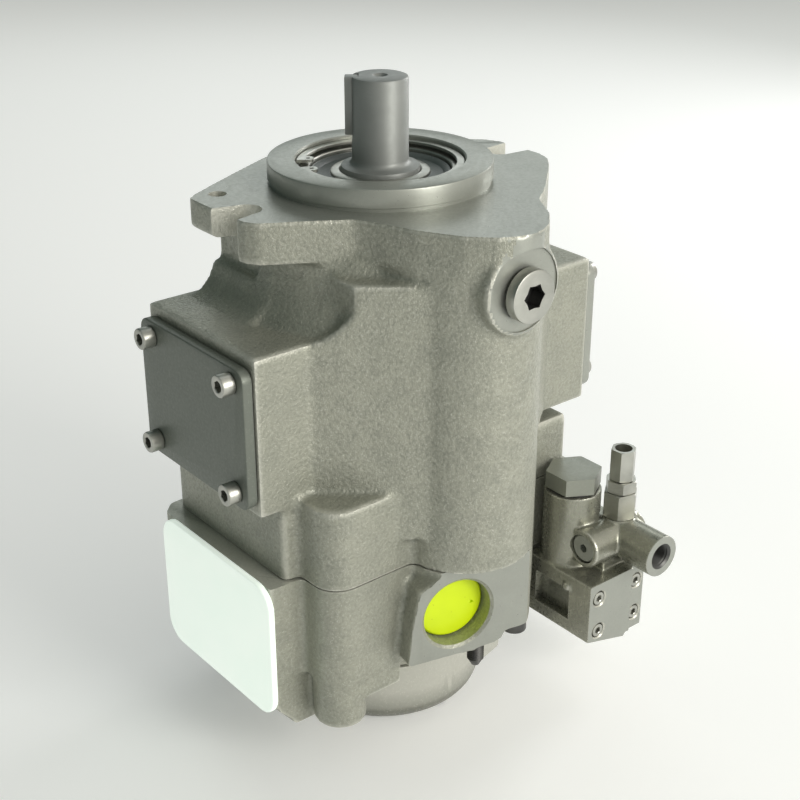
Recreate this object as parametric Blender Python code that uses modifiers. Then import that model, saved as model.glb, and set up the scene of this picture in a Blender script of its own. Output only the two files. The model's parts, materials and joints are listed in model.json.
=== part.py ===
"""Variable axial piston pump: a swashplate pump standing on its rear cover, shaft up.

Frame: origin on the shaft axis at the flat foot of the rear cover, +Z along the shaft.
The trunnion axis of the swashplate runs along X; the control cylinder bulge faces -Y.
Lengths below are millimetres and become metres through MM.
"""
import math

import bmesh
import bpy
from mathutils import Matrix

MM = 0.001
GAP = 0.3            # clearance between touching castings
RUN = 0.05           # running clearance of a shaft or spool in its bore

# Heights along the shaft
Z_COVER = 42.0       # joint between rear cover and port block
Z_BLOCK = 132.7      # top of the port block
Z_HOUSING = 133.0    # foot of the housing
Z_TRUNNION = 226.0   # swashplate tilt axis
Z_EAR = 332.3        # mounting face
Z_PILOT = 345.0
Z_SHAFT = 390.4

# Two-bolt mounting flange
PILOT_R = 63.5
SLOT_R = 8.75
BOLT_X = 90.5

# Shaft and rotating group
SHAFT_R = 15.875
JOURNAL_R = 22.5
FRONT_SEAT_R = 20.0
REAR_SEAT_R = 15.0
SPLINE_R = 17.5
PISTONS = 9
PITCH_R = 39.0
PISTON_R = 9.3
BARREL_R = 55.0
KEY_ANGLE = 152.0

# Castings
CAVITY_R = 61.0
BULGE_Y, BULGE_R = -76.0, 40.4
BOX_X = 122.0
DRAIN_Z, DRAIN_Y = 301.0, -119.0
PORT_DIR = math.radians(-103.3)      # heading of the plugged rear port
PORT_FACE, PORT_Z = 102.6, 102.2

# Compensator valve
SPOOL_X, SPOOL_Y = 97.0, -70.0
ADJ_X, ADJ_Y = 118.0, -91.0
ARM_Z = 100.0
VALVE_SCREWS = [(86.4, 71), (87.2, 50), (120.5, 70), (120.5, 50)]

for old in list(bpy.data.objects):
    bpy.data.objects.remove(old, do_unlink=True)
scene = bpy.context.scene
PUMP = bpy.data.collections.new("axial_piston_pump")
CUTTERS = bpy.data.collections.new("cutters")
scene.collection.children.link(PUMP)
scene.collection.children.link(CUTTERS)


# ---------------------------------------------------------------- materials
def material(name, rgb, rough, metal):
    mat = bpy.data.materials.new(name)
    mat.use_nodes = True
    bsdf = mat.node_tree.nodes["Principled BSDF"]
    bsdf.inputs["Base Color"].default_value = (*rgb, 1.0)
    bsdf.inputs["Roughness"].default_value = rough
    bsdf.inputs["Metallic"].default_value = metal
    mat.diffuse_color = (*rgb, 1.0)
    return mat


PAINT = material("grey_paint", (0.36, 0.37, 0.33), 0.45, 0.55)
STEEL = material("bright_steel", (0.55, 0.55, 0.53), 0.30, 1.0)
DARK_STEEL = material("dark_steel", (0.16, 0.16, 0.16), 0.40, 1.0)
BRONZE = material("bronze", (0.60, 0.40, 0.16), 0.35, 1.0)
RUBBER = material("rubber", (0.02, 0.02, 0.02), 0.65, 0.0)
YELLOW = material("yellow_plastic", (0.85, 0.92, 0.02), 0.35, 0.0)
WHITE = material("white_plastic", (0.85, 0.90, 0.86), 0.45, 0.0)


# ---------------------------------------------------------------- shapes
def new_object(name, mesh):
    ob = bpy.data.objects.new(name, mesh)
    CUTTERS.objects.link(ob)
    ob.hide_render = True
    ob.display_type = 'WIRE'
    return ob


def from_bmesh(name, bm):
    mesh = bpy.data.meshes.new(name)
    bmesh.ops.recalc_face_normals(bm, faces=bm.faces)
    bm.to_mesh(mesh)
    bm.free()
    return new_object(name, mesh)


def aim(heading, centre, tilt=0.0):
    """Matrix whose Z runs along a heading in plan, tilted up by tilt degrees."""
    turn = Matrix.Rotation(heading, 4, 'Z') @ Matrix.Rotation(math.radians(90.0 - tilt), 4, 'Y')
    return Matrix.Translation([c * MM for c in centre]) @ turn


def cylinder(name, r, lo, hi, x=0.0, y=0.0, seg=48, top=None, place=None):
    """Cylinder or cone from lo to hi along Z, or along the Z of a placing matrix."""
    bm = bmesh.new()
    bmesh.ops.create_cone(bm, cap_ends=True, segments=seg, radius1=r * MM,
                          radius2=(r if top is None else top) * MM, depth=(hi - lo) * MM)
    bmesh.ops.translate(bm, verts=bm.verts, vec=(x * MM, y * MM, (lo + hi) / 2 * MM))
    if place is not None:
        bmesh.ops.transform(bm, matrix=place, verts=bm.verts)
    return from_bmesh(name, bm)


def box(name, xs, ys, zs, place=None):
    bm = bmesh.new()
    bmesh.ops.create_cube(bm, size=1.0)
    size = [(p[1] - p[0]) * MM for p in (xs, ys, zs)]
    mid = [(p[1] + p[0]) / 2 * MM for p in (xs, ys, zs)]
    bmesh.ops.scale(bm, verts=bm.verts, vec=size)
    bmesh.ops.translate(bm, verts=bm.verts, vec=mid)
    if place is not None:
        bmesh.ops.transform(bm, matrix=place, verts=bm.verts)
    return from_bmesh(name, bm)


def plate(name, outline, lo, hi, place=None):
    """Flat outline in XY between the heights lo and hi, then placed by a matrix."""
    curve = bpy.data.curves.new(name, 'CURVE')
    curve.dimensions = '2D'
    curve.fill_mode = 'BOTH'
    curve.extrude = (hi - lo) / 2 * MM
    spline = curve.splines.new('POLY')
    spline.points.add(len(outline) - 1)
    for point, (x, y) in zip(spline.points, outline):
        point.co = (x * MM, y * MM, 0.0, 1.0)
    spline.use_cyclic_u = True
    temp = bpy.data.objects.new(name, curve)
    CUTTERS.objects.link(temp)
    temp.location.z = (lo + hi) / 2 * MM
    bpy.context.view_layer.update()
    mesh = bpy.data.meshes.new_from_object(temp.evaluated_get(bpy.context.evaluated_depsgraph_get()))
    world = temp.matrix_world.copy()
    bpy.data.objects.remove(temp, do_unlink=True)
    bm = bmesh.new()
    bm.from_mesh(mesh)
    bpy.data.meshes.remove(mesh)
    bmesh.ops.transform(bm, matrix=world if place is None else place @ world, verts=bm.verts)
    bmesh.ops.remove_doubles(bm, verts=bm.verts, dist=1e-6)
    return from_bmesh(name, bm)


def turned(name, profile, seg=64, x=0.0, y=0.0, z=0.0, place=None):
    """Solid of revolution from (radius, height) points, top to bottom down the outside."""
    ring = all(r > 0 for r, _ in profile)
    bm = bmesh.new()
    verts = [bm.verts.new((r * MM, 0.0, h * MM)) for r, h in profile]
    for a, b in zip(verts, verts[1:]):
        bm.edges.new((a, b))
    if ring:
        bm.edges.new((verts[-1], verts[0]))
    mesh = bpy.data.meshes.new(name)
    bm.to_mesh(mesh)
    bm.free()
    ob = new_object(name, mesh)
    if place is not None:
        ob.matrix_world = place
    else:
        ob.location = (x * MM, y * MM, z * MM)
    screw = ob.modifiers.new("Turn", 'SCREW')
    screw.steps = screw.render_steps = seg
    screw.use_merge_vertices = True
    screw.merge_threshold = 0.00001
    return ob


def baked(ob):
    """Apply the modifiers and the placing of an object to its mesh."""
    bpy.context.view_layer.update()
    mesh = bpy.data.meshes.new_from_object(ob.evaluated_get(bpy.context.evaluated_depsgraph_get()))
    mesh.transform(ob.matrix_world)
    ob.modifiers.clear()
    ob.data = mesh
    ob.matrix_world = Matrix.Identity(4)
    return ob


def combine(ob, tools, operation):
    for tool in tools:
        mod = ob.modifiers.new(operation, 'BOOLEAN')
        mod.operation = operation
        mod.solver = 'EXACT'
        mod.object = tool
    return ob


def join(ob, *tools):
    return combine(ob, tools, 'UNION')


def cut(ob, *tools):
    return combine(ob, tools, 'DIFFERENCE')


def finish(ob, mat, pivot=None, parent=None):
    """Move a finished body out of the cutters, with its origin on its own axis."""
    baked(ob)
    CUTTERS.objects.unlink(ob)
    PUMP.objects.link(ob)
    ob.hide_render = False
    ob.display_type = 'TEXTURED'
    if pivot:
        spot = Matrix.Translation([c * MM for c in pivot])
        ob.data.transform(spot.inverted())
        ob.matrix_world = spot
    if parent is not None:
        ob.parent = parent
        ob.matrix_parent_inverse = parent.matrix_world.inverted()
    ob.data.materials.clear()
    ob.data.materials.append(mat)
    ob.data.shade_smooth()
    ob.data.set_sharp_from_angle(angle=math.radians(30))
    return ob


def arc(cx, cy, r, a0, a1, n):
    return [(cx + r * math.cos(math.radians(a0 + (a1 - a0) * i / n)),
             cy + r * math.sin(math.radians(a0 + (a1 - a0) * i / n))) for i in range(n + 1)]


def around(count, r, start=0.0):
    for i in range(count):
        a = math.radians(start) + 2 * math.pi * i / count
        yield i, r * math.cos(a), r * math.sin(a)


def mirrored(outline):
    """The outline reflected in X, wound the same way."""
    return [(-x, y) for x, y in reversed(outline)]


XZ = Matrix(((1, 0, 0, 0), (0, 0, -1, 0), (0, 1, 0, 0), (0, 0, 0, 1)))   # (x, y, z) -> (x, -z, y)
FACE_NX, FACE_PX, FACE_NY = math.pi, 0.0, -math.pi / 2


def empty(name, x=0.0, y=0.0, z=0.0):
    ob = bpy.data.objects.new(name, None)
    ob.empty_display_size = 0.02
    ob.location = (x * MM, y * MM, z * MM)
    PUMP.objects.link(ob)
    bpy.context.view_layer.update()
    return ob


SHAFT_AXIS = empty("shaft_axis")
FRONT_CAGE_AXIS = empty("front_cage_axis")
REAR_CAGE_AXIS = empty("rear_cage_axis")
SPOOL_AXIS = empty("spool_axis", SPOOL_X, SPOOL_Y)
ADJUSTER_AXIS = empty("adjuster_axis", ADJ_X, ADJ_Y)


def socket_screw(name, r_head, head, r_shank, length, place, seg=16):
    """Socket head screw; its Z runs out of the head and z = 0 is the seat."""
    k = 0.5 * r_head
    body = turned(name, [(0, head), (r_head, head), (r_head, 0), (r_shank, 0),
                         (r_shank, -length), (0, -length)], seg, place=place)
    hexagon = cylinder(name + "_hex", k * 1.155, head * 0.4, head + 1, seg=6, place=place)
    return cut(body, hexagon)


# ---------------------------------------------------------------- housing
def lower_outline(edge_x, left_step):
    """Plan of the castings at their joint, counter-clockwise from the left front."""
    front = [(-edge_x, -left_step), (-98, -left_step - 1)]
    front += arc(-82, -63, 16, 180, 270, 4) + [(-52, -78.7), (34, -79.2), (54, -69)]
    front += arc(63, -57, 10, 235, 330, 3) + [(76, -50.9), (edge_x, -50.6)]
    back = [(edge_x, 60), (edge_x - 8, 68)] + arc(82, 63, 16, 20, 90, 3)
    return front + back + mirrored(back)


def slot(sign):
    """Cutter for an open-ended bolt slot of the flange, flared towards its mouth."""
    mouth = [(125, -16), (125, 18), (104, 13)] if sign < 0 else [(125, -12), (125, 12)]
    outline = mouth + arc(BOLT_X, 0, SLOT_R, 90, 270, 8)
    outline = outline if sign > 0 else mirrored(outline)
    return plate("slot", outline, 300, 340)


FLANGE = [(-104, -SLOT_R - 1), (-103, -17), (-99, -24), (-80, -35), (-56, -50), (-52, -58),
          (-43, -83), (-30, -106), (-18, -118), (-8, -123), (0, -124.5), (8, -123), (18, -117.5),
          (31, -104), (43, -84), (58, -73), (80, -53), (96, -37), (102, -30), (105, -20),
          (105, 14), (101, 24), (88, 36), (84, 52), (66, 64), (40, 74), (0, 80), (-28, 76),
          (-60, 60), (-98, 40), (-103, 36), (-104, 28)]

panel = [(-68.4, -65), (-33, -94.3), (0, -94.3), (0, 0), (-68.4, 0)]
side_box = [(-BOX_X, -50), (-88, -50), (-67, -66.5), (-40, -66.5), (-40, 56), (-BOX_X, 56)]
ramp = [(-100, 266), (-100, 271.6), (-92, 276), (-85, 285), (-81, 298), (-80, 306.5), (-60, 306.5), (-60, 266)]

housing = plate("housing", lower_outline(108, 49), Z_HOUSING, 171)
left_low = plate("left_low", [(-107.6, -48.6), (-97.6, -49.4)] + arc(-82, -63, 15.6, 180, 270, 4)
                 + [(-48, -78.6), (0, -78.6), (0, 59.4), (-107.6, 59.4)], Z_HOUSING + 10, 182)
core = cylinder("core", 77.5, Z_HOUSING + 5, 311, seg=40)
bulge = cylinder("bulge", BULGE_R, Z_HOUSING + 5, Z_EAR - 5, 0, BULGE_Y, 32)
back_bulge = cylinder("back_bulge", 30, Z_HOUSING + 5, 285, 0, 66, 16)
panel_l = plate("panel_l", panel, 152, 303)
panel_r = plate("panel_r", mirrored(panel), 152, 303)
box_l = plate("box_l", side_box, 178, 271)
box_r = plate("box_r", mirrored(side_box), 178, 271)
ramp_l = plate("ramp_l", ramp, -48, 44, place=XZ)
ramp_r = plate("ramp_r", mirrored(ramp), -48, 44, place=XZ)
flange = plate("flange", FLANGE, 309 - GAP, Z_EAR)
pilot = turned("pilot", [(0, Z_PILOT), (PILOT_R - 1, Z_PILOT), (PILOT_R, Z_PILOT - 1), (PILOT_R, Z_EAR + 2),
                         (PILOT_R - 1, Z_EAR + 1.2), (PILOT_R - 1, Z_EAR - 4), (0, Z_EAR - 4)], 40)
drain_boss = cylinder("drain_boss", 27, 60, -DRAIN_Y, seg=24, place=aim(FACE_NY, (0, 0, DRAIN_Z)))
join(housing, left_low, core, bulge, back_bulge, panel_l, panel_r, box_l, box_r, ramp_l, ramp_r, flange,
     pilot, drain_boss)
baked(housing)

cavity = turned("cavity", [(0, Z_PILOT + 5), (45.6, Z_PILOT + 5), (45.6, 338.1), (47.3, 338.1), (47.3, 335.8),
                           (45.6, 335.8), (45.6, 322.3), (40.01, 322.3), (40.01, 299.7), (34, 299.7),
                           (34, 290), (52, 290), (CAVITY_R, 280), (CAVITY_R, 120), (0, 120)], 24)
tools = [cavity, slot(-1), slot(1)]
tools += [box("yoke_room", (-78, 78), (-30, 30), (196, 258)),
          cylinder("trunnion_l", 24.01, 70, 130, seg=24, place=aim(FACE_NX, (0, 0, Z_TRUNNION))),
          cylinder("trunnion_r", 24.01, 70, 130, seg=24, place=aim(FACE_PX, (0, 0, Z_TRUNNION))),
          cylinder("servo_bore", 16 + RUN, 120, 262, 0, -86, 24),
          box("servo_window", (-9, 9), (-86, -40), (240, 275)),
          cylinder("bias_bore", 11 + RUN, 120, 262, 0, 74, 20),
          box("bias_window", (-8, 8), (40, 74), (240, 275)),
          cylinder("drain_bore", 13.3, 88, 125, seg=24, place=aim(FACE_NY, (0, 0, DRAIN_Z))),
          cylinder("spot_face", 19.5, -DRAIN_Y, 135, seg=24, place=aim(FACE_NY, (0, 0, DRAIN_Z))),
          cylinder("drain_drop", 6, 50, 100, seg=10, place=aim(FACE_NY, (0, 0, 284))),
          cylinder("lifting_hole", 5, 300, 340, -87.3, 32.5, 12)]
for sx, heading in ((-1, FACE_NX), (1, FACE_PX)):
    for y in (-37, 43):
        for z in (192, 256):
            tools.append(cylinder("cover_hole", 4.2, 104, 130, seg=8, place=aim(heading, (0, y, z))))
HOUSING_BOLTS = [(-82, -63), (82, 63), (-82, 63), (63, -57)]
for bx, by in HOUSING_BOLTS:
    tools.append(cylinder("bolt_hole", 6.2 if bx != 63 else 5.2, 120, 157, bx, by, 8))
cut(housing, *tools)
finish(housing, PAINT)

# ---------------------------------------------------------------- port block
block = plate("port_block", lower_outline(119, 51), 69, Z_BLOCK)
foot = plate("block_foot", [(-82, -77.5), (-48, -77.5), (-40, -64), (50, -64), (58, -60), (66, 60), (-66, 60)], 54, 75)
side = [(-118.7, 126), (-118.7, 51), (-104, 33), (-58, 33), (-58, 126)]
side_l = plate("side_l", side, -57, 50.4, place=XZ)
side_r = plate("side_r", mirrored(side), -57, 40, place=XZ)
block_bulge = cylinder("block_bulge", BULGE_R, 82, Z_BLOCK - 2, 0, BULGE_Y, 32)
block_neck = cylinder("block_neck", 61.5, Z_COVER + GAP, 75, seg=32)
legs = [cylinder("leg", 15.3, 38, 76, x, y, 16) for x, y in ((-82, -63), (-82, 63), (82, 63))]
legs.append(cylinder("leg_small", 9.2, 42, 76, 63, -57, 16))
port_outline = [(-30, -26), (-12, -28.5), (32, -28), (29, 0), (25, 20), (10, 28), (-6, 29), (-26, 24)]
port_pose = aim(PORT_DIR, (0, 0, PORT_Z)) @ Matrix.Rotation(-math.pi / 2, 4, 'Z')
port_boss = plate("port_boss", [(-x, y) for x, y in reversed(port_outline)], 50, PORT_FACE, place=port_pose)
valve_pad = box("valve_pad", (72, 126), (-50.8, -41), (43, 81))
join(block, foot, valve_pad, side_l, side_r, block_bulge, block_neck, *legs, port_boss)
baked(block)
tools = [turned("block_bore", [(0, 140), (31.01, 140), (31.01, 105.7), (24, 105.7), (24, 30), (0, 30)], 24),
         cylinder("cover_room", 62.6, 10, Z_COVER + GAP, seg=40),
         cylinder("port_hole", 21.5, 88, 120, seg=28, place=aim(PORT_DIR, (0, 0, PORT_Z))),
         cylinder("port_drill", 12, 60, 95, seg=12, place=aim(PORT_DIR, (0, 0, PORT_Z))),
         cylinder("suction", 25, 48, 125, seg=24, place=aim(FACE_NX, (0, 2, 88))),
         cylinder("pressure", 16, 48, 125, seg=16, place=aim(FACE_PX, (0, 2, 88))),
         box("suction_kidney", (-50, -36), (-20, 20), (80, 140)),
         box("pressure_kidney", (36, 50), (-20, 20), (80, 140)),
         cylinder("control_drill", 4, 118, 140, 0, -86, 8),
         cylinder("stud_hole", 5.1, 60, 82, -8, -98, 12)]
for bx, by in HOUSING_BOLTS:
    big = bx != 63
    tools.append(cylinder("bolt_way", 6.2 if big else 5.2, 10, 140, bx, by, 8))
    if big:
        tools.append(cylinder("head_room", 9.6, 10, 50, bx, by, 12))
for sx, heading in ((-1, FACE_NX), (1, FACE_PX)):
    for y in (-30, 34):
        for z in (58, 118):
            tools.append(cylinder("flange_hole", 5.2, 100, 130, seg=8, place=aim(heading, (0, y, z))))
for x, z in VALVE_SCREWS:
    tools.append(cylinder("valve_hole", 2.75, 40, 60, seg=8, place=aim(FACE_NY, (x, 0, z))))
for i, x, y in around(6, 51, 33):
    tools.append(cylinder("cover_tap", 3.4, 30, 66, x, y, 8))
cut(block, *tools)
finish(block, PAINT)

# ---------------------------------------------------------------- rear cover
cover = turned("rear_cover", [(0, 6), (44, 6), (44, Z_COVER), (62, Z_COVER), (62, 6.5), (59.5, 2), (55, 0), (0, 0)], 40)
cover_tools = []
for i, x, y in around(6, 51, 33):
    cover_tools += [cylinder("cover_way", 3.4, -5, 50, x, y, 8), cylinder("cover_head", 5.8, -5, 9.5, x, y, 10)]
cut(cover, *cover_tools)
finish(cover, PAINT)

# ---------------------------------------------------------------- trunnion covers and bearings
def rounded(w, h, r, n=3):
    """Rounded rectangle centred on the origin."""
    out = []
    for cx, cy, a in ((w - r, h - r, 0), (r - w, h - r, 90), (r - w, r - h, 180), (w - r, r - h, 270)):
        out += arc(cx, cy, r, a, a + 90, n)
    return out


for tag, heading, sx in (("left", FACE_NX, -1), ("right", FACE_PX, 1)):
    pose = aim(heading, (0, 3, 224)) @ Matrix.Rotation(math.pi / 2, 4, 'Z')
    lid = plate(tag + "_trunnion_cover", rounded(51.5, 41, 7), BOX_X + GAP, BOX_X + GAP + 6.5, place=pose)
    spigot = cylinder("spigot", 23.6, 116, BOX_X + 3, seg=24, place=aim(heading, (0, 0, Z_TRUNNION)))
    join(lid, spigot)
    ways, heads = [], []
    for y in (-37, 43):
        for z in (192, 256):
            ways.append(cylinder("way", 4.3, 110, 140, seg=8, place=aim(heading, (0, y, z))))
            seat = aim(heading, (sx * (BOX_X + 2 * GAP + 6.5), y, z))
            if sx < 0:
                number = len(heads) + 1
                heads.append(socket_screw(f"left_cover_screw_{number}", 6.2, 7.5, 3.5, 20, seat, 10))
    cut(lid, *ways)
    finish(lid, PAINT)
    for head in heads:
        finish(head, STEEL)
    bearing = turned(tag + "_trunnion_bearing", [(24 - RUN, 114), (24 - RUN, 88), (16 + RUN, 88), (16 + RUN, 114)], 24,
                     place=aim(heading, (0, 0, Z_TRUNNION)))
    finish(bearing, BRONZE)

# ---------------------------------------------------------------- swashplate and its controls
swash = turned("swashplate", [(27, 262), (44, 262), (54, 250), (54, 236.3), (27, 236.3)], 32)
arms = [box("arm_l", (-74, -40), (-17, 17), (236.3, 250)), box("arm_r", (40, 74), (-17, 17), (236.3, 250)),
        box("drop_l", (-76, -62.5), (-17, 17), (208, 250)), box("drop_r", (62.5, 76), (-17, 17), (208, 250)),
        cylinder("pin_l", 16, 64, 112, seg=24, place=aim(FACE_NX, (0, 0, Z_TRUNNION))),
        cylinder("pin_r", 16, 64, 112, seg=24, place=aim(FACE_PX, (0, 0, Z_TRUNNION))),
        box("lever_f", (-7, 7), (-92, -40), (252, 260)), box("lever_b", (-6, 6), (40, 78), (252, 260))]
join(swash, *arms)
baked(swash)
cut(swash, cylinder("swash_bore", 27, 200, 300, seg=32), cylinder("clear_plate", 54.6, 200, 236.1, seg=32))
finish(swash, STEEL)
wear = turned("swash_wear_plate", [(53, 236), (53, 232.3), (27.5, 232.3), (27.5, 236)], 32)
finish(wear, BRONZE)
servo = turned("control_piston", [(0, 251.7), (6, 251.7), (9, 249), (16, 248), (16, 190), (12, 190), (12, 230), (0, 230)],
               24, 0, -86)
finish(servo, STEEL)
bias = turned("bias_piston", [(0, 251.7), (5, 251.7), (7, 249), (11, 248), (11, 205), (8, 205), (8, 240), (0, 240)],
              20, 0, 74)
finish(bias, STEEL)


def coil(name, r, wire, lo, hi, turns, x, y, per=12):
    """Closed-end compression spring around a vertical axis."""
    curve = bpy.data.curves.new(name, 'CURVE')
    curve.dimensions = '3D'
    curve.bevel_depth = wire / 2 * MM
    curve.bevel_resolution = 0
    curve.use_fill_caps = True
    spline = curve.splines.new('POLY')
    count = turns * per
    spline.points.add(count)
    for i, point in enumerate(spline.points):
        a, t = 2 * math.pi * i / per, i / count
        point.co = (r * math.cos(a) * MM, r * math.sin(a) * MM, (lo + (hi - lo) * t) * MM, 1.0)
    temp = bpy.data.objects.new(name, curve)
    CUTTERS.objects.link(temp)
    temp.location = (x * MM, y * MM, 0.0)
    bpy.context.view_layer.update()
    mesh = bpy.data.meshes.new_from_object(temp.evaluated_get(bpy.context.evaluated_depsgraph_get()))
    world = temp.matrix_world.copy()
    bpy.data.objects.remove(temp, do_unlink=True)
    bm = bmesh.new()
    bm.from_mesh(mesh)
    bmesh.ops.transform(bm, matrix=world, verts=bm.verts)
    bmesh.ops.remove_doubles(bm, verts=bm.verts, dist=1e-6)
    return from_bmesh(name, bm)


finish(coil("bias_spring", 6, 2.2, 136, 238, 7, 0, 74, 7), DARK_STEEL)

# ---------------------------------------------------------------- plugs, port covers, stud
plug = turned("drain_plug", [(0, 6), (15.5, 6), (16.5, 5), (16.5, 0), (13, 0), (13, -14), (0, -14)], 24,
              place=aim(FACE_NY, (0, DRAIN_Y - 1.5 - GAP, DRAIN_Z)))
cut(plug, cylinder("plug_hex", 6.9, -2, 8, seg=6, place=aim(FACE_NY, (0, DRAIN_Y - 1.5 - GAP, DRAIN_Z))))
finish(plug, STEEL)
cap = turned("port_shipping_plug", [(0, 96.5), (19, 96.5), (21, 95), (21, 89), (0, 89)], 28,
             place=aim(PORT_DIR, (0, 0, PORT_Z)))
finish(cap, YELLOW)
for tag, heading, hole, size in (("suction", FACE_NX, 24.3, (57, 43, 14)), ("pressure", FACE_PX, 15.3, (38, 37, 12))):
    pose = aim(heading, (0, 2, 90.5)) @ Matrix.Rotation(math.pi / 2, 4, 'Z')
    lid = plate(tag + "_port_cover", rounded(*size), 119 + GAP, 123, place=pose)
    join(lid, cylinder("cover_spigot", hole, 112, 121, seg=16, place=aim(heading, (0, 2, 88))))
    finish(lid, WHITE)
stud = turned("clamp_stud", [(0, 81.5), (5, 81.5), (5, 66), (4.6, 65), (2.5, 60), (0, 60)], 12, -8, -98)
finish(stud, DARK_STEEL)

# ---------------------------------------------------------------- front seal and bearings
carrier = turned("seal_carrier", [(45.3, 335.5), (45.3, 322.6), (36, 322.6), (36, 325), (40, 325), (40, 335.5)], 24)
finish(carrier, STEEL)
ring = turned("seal_retaining_ring", [(47, 337.8), (47, 336.1), (41.5, 336.1), (41.5, 337.8)], 24)
lug = math.radians(205)
cut(ring, box("ring_gap", (40, 50), (-5, 5), (330, 340), place=Matrix.Rotation(lug, 4, 'Z')))
finish(ring, DARK_STEEL)
LIP_R = (JOURNAL_R + RUN) / math.cos(math.pi / 24)      # flats of the lip clear the journal
seal = turned("shaft_seal", [(39.7, 335.2), (39.7, 325.3), (LIP_R, 325.3), (LIP_R, 337),
                             (27, 337), (28, 335.2)], 24)
finish(seal, RUBBER)
for tag, z0, z1, inner, outer, roll, axis in (("front", 300, 322, FRONT_SEAT_R, 40.0, 4.4, FRONT_CAGE_AXIS),
                                              ("rear", 106, 126, REAR_SEAT_R, 31.0, 3.4, REAR_CAGE_AXIS)):
    mid = (inner + outer) / 2
    top_gap = 0.3
    race = (mid + roll + RUN) / math.cos(math.pi / 24)
    outer_ring = turned(tag + "_bearing_outer", [(outer - 0.02, z1 - top_gap), (outer - 0.02, z0),
                                                 (race, z0), (race, z1 - top_gap)], 24)
    finish(outer_ring, STEEL)
    inner_ring = turned(tag + "_bearing_inner", [(mid - roll - RUN, z1 - top_gap), (mid - roll - RUN, z0),
                                                 (inner + 0.02, z0), (inner + 0.02, z1 - top_gap)], 24)
    finish(inner_ring, STEEL, parent=SHAFT_AXIS)
    count = 12
    rollers = [cylinder("roller", roll, z0 + 4, z1 - 4, x, y, 6) for i, x, y in around(count, mid)]
    cage = turned(tag + "_roller_cage", [(mid + roll * 0.45, z1 - 1), (mid + roll * 0.45, z0 + 1),
                                         (mid - roll * 0.45, z0 + 1), (mid - roll * 0.45, z1 - 1)], 24)
    join(cage, *rollers)
    finish(cage, BRONZE, parent=axis)

# ---------------------------------------------------------------- shaft and key
shaft = turned("drive_shaft", [(0, 386), (3.1, 386), (4.2, Z_SHAFT), (SHAFT_R - 1.2, Z_SHAFT), (SHAFT_R, Z_SHAFT - 1.2),
                               (SHAFT_R, 341), (JOURNAL_R - 1.5, 341), (JOURNAL_R, 339.5), (JOURNAL_R, 322.2),
                               (FRONT_SEAT_R, 322.2), (FRONT_SEAT_R, 299), (19, 298), (19, 216), (SPLINE_R, 215),
                               (SPLINE_R, 141), (REAR_SEAT_R, 140), (REAR_SEAT_R, 84), (14, 83), (0, 83)], 24)
turn = Matrix.Rotation(math.radians(KEY_ANGLE), 4, 'Z')
cut(shaft, box("keyway", (11.6, 20), (-3.97, 3.97), (350, 395), place=turn))
finish(shaft, STEEL, parent=SHAFT_AXIS)
key = box("shaft_key", (11.9, 19.4), (-3.92, 3.92), (356, 389.9), place=turn)
finish(key, DARK_STEEL, parent=SHAFT_AXIS)

# ---------------------------------------------------------------- rotating group
valve = turned("valve_plate", [(56, 137.3), (56, 133), (32, 133), (32, 137.3)], 32)
kidneys = []
for side_x in (-1, 1):
    shape = arc(0, 0, 45, -62, 62, 6) + arc(0, 0, 33.5, 62, -62, 6)
    shape = shape if side_x > 0 else mirrored(shape)
    kidneys.append(plate("kidney", shape, 130, 140))
cut(valve, *kidneys)
finish(valve, BRONZE)

barrel = turned("cylinder_barrel", [(BARREL_R, 210), (BARREL_R, 146), (52, 137.6), (20, 137.6), (20, 146), (SPLINE_R + RUN, 147),
                                    (SPLINE_R + RUN, 164), (27, 164), (27, 210)], 24)
tools = []
for i, x, y in around(PISTONS, PITCH_R, 10):
    tools += [cylinder("piston_bore", PISTON_R + RUN, 148, 220, x, y, 12), cylinder("piston_port", 4.5, 130, 160, x, y, 6)]
cut(barrel, *tools)
finish(barrel, STEEL, parent=SHAFT_AXIS)

for i, x, y in around(PISTONS, PITCH_R, 10):
    profile = [(0, 232.1), (11.4, 232.1), (11.4, 229), (9, 228.6), (9, 222.6), (5.6, 221.2),
               (PISTON_R, 217), (PISTON_R, 168), (6, 168), (6, 205), (0, 205)]
    piston = turned(f"piston_{i + 1}", profile, 12)
    piston.location = (x * MM, y * MM, 0)
    finish(piston, STEEL, pivot=(x, y, Z_TRUNNION), parent=SHAFT_AXIS)
retainer = turned("retainer_plate", [(52, 228), (52, 224.2), (26, 224.2), (26.3, 228)], 24)
cut(retainer, *[cylinder("slipper_hole", 9.9, 220, 230, x, y, 8) for i, x, y in around(PISTONS, PITCH_R, 10)])
finish(retainer, STEEL, parent=SHAFT_AXIS)
guide = turned("retainer_ball", [(25.6, 227.5), (25.8, 224), (25.2, 220), (23.6, 215), (22, 212.3), (19.4, 212.3),
                                 (19.4, 227.5)], 24)
finish(guide, STEEL, parent=SHAFT_AXIS)
finish(coil("barrel_spring", 22.6, 3.0, 166, 210.4, 4, 0, 0, 10), DARK_STEEL, parent=SHAFT_AXIS)

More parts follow.
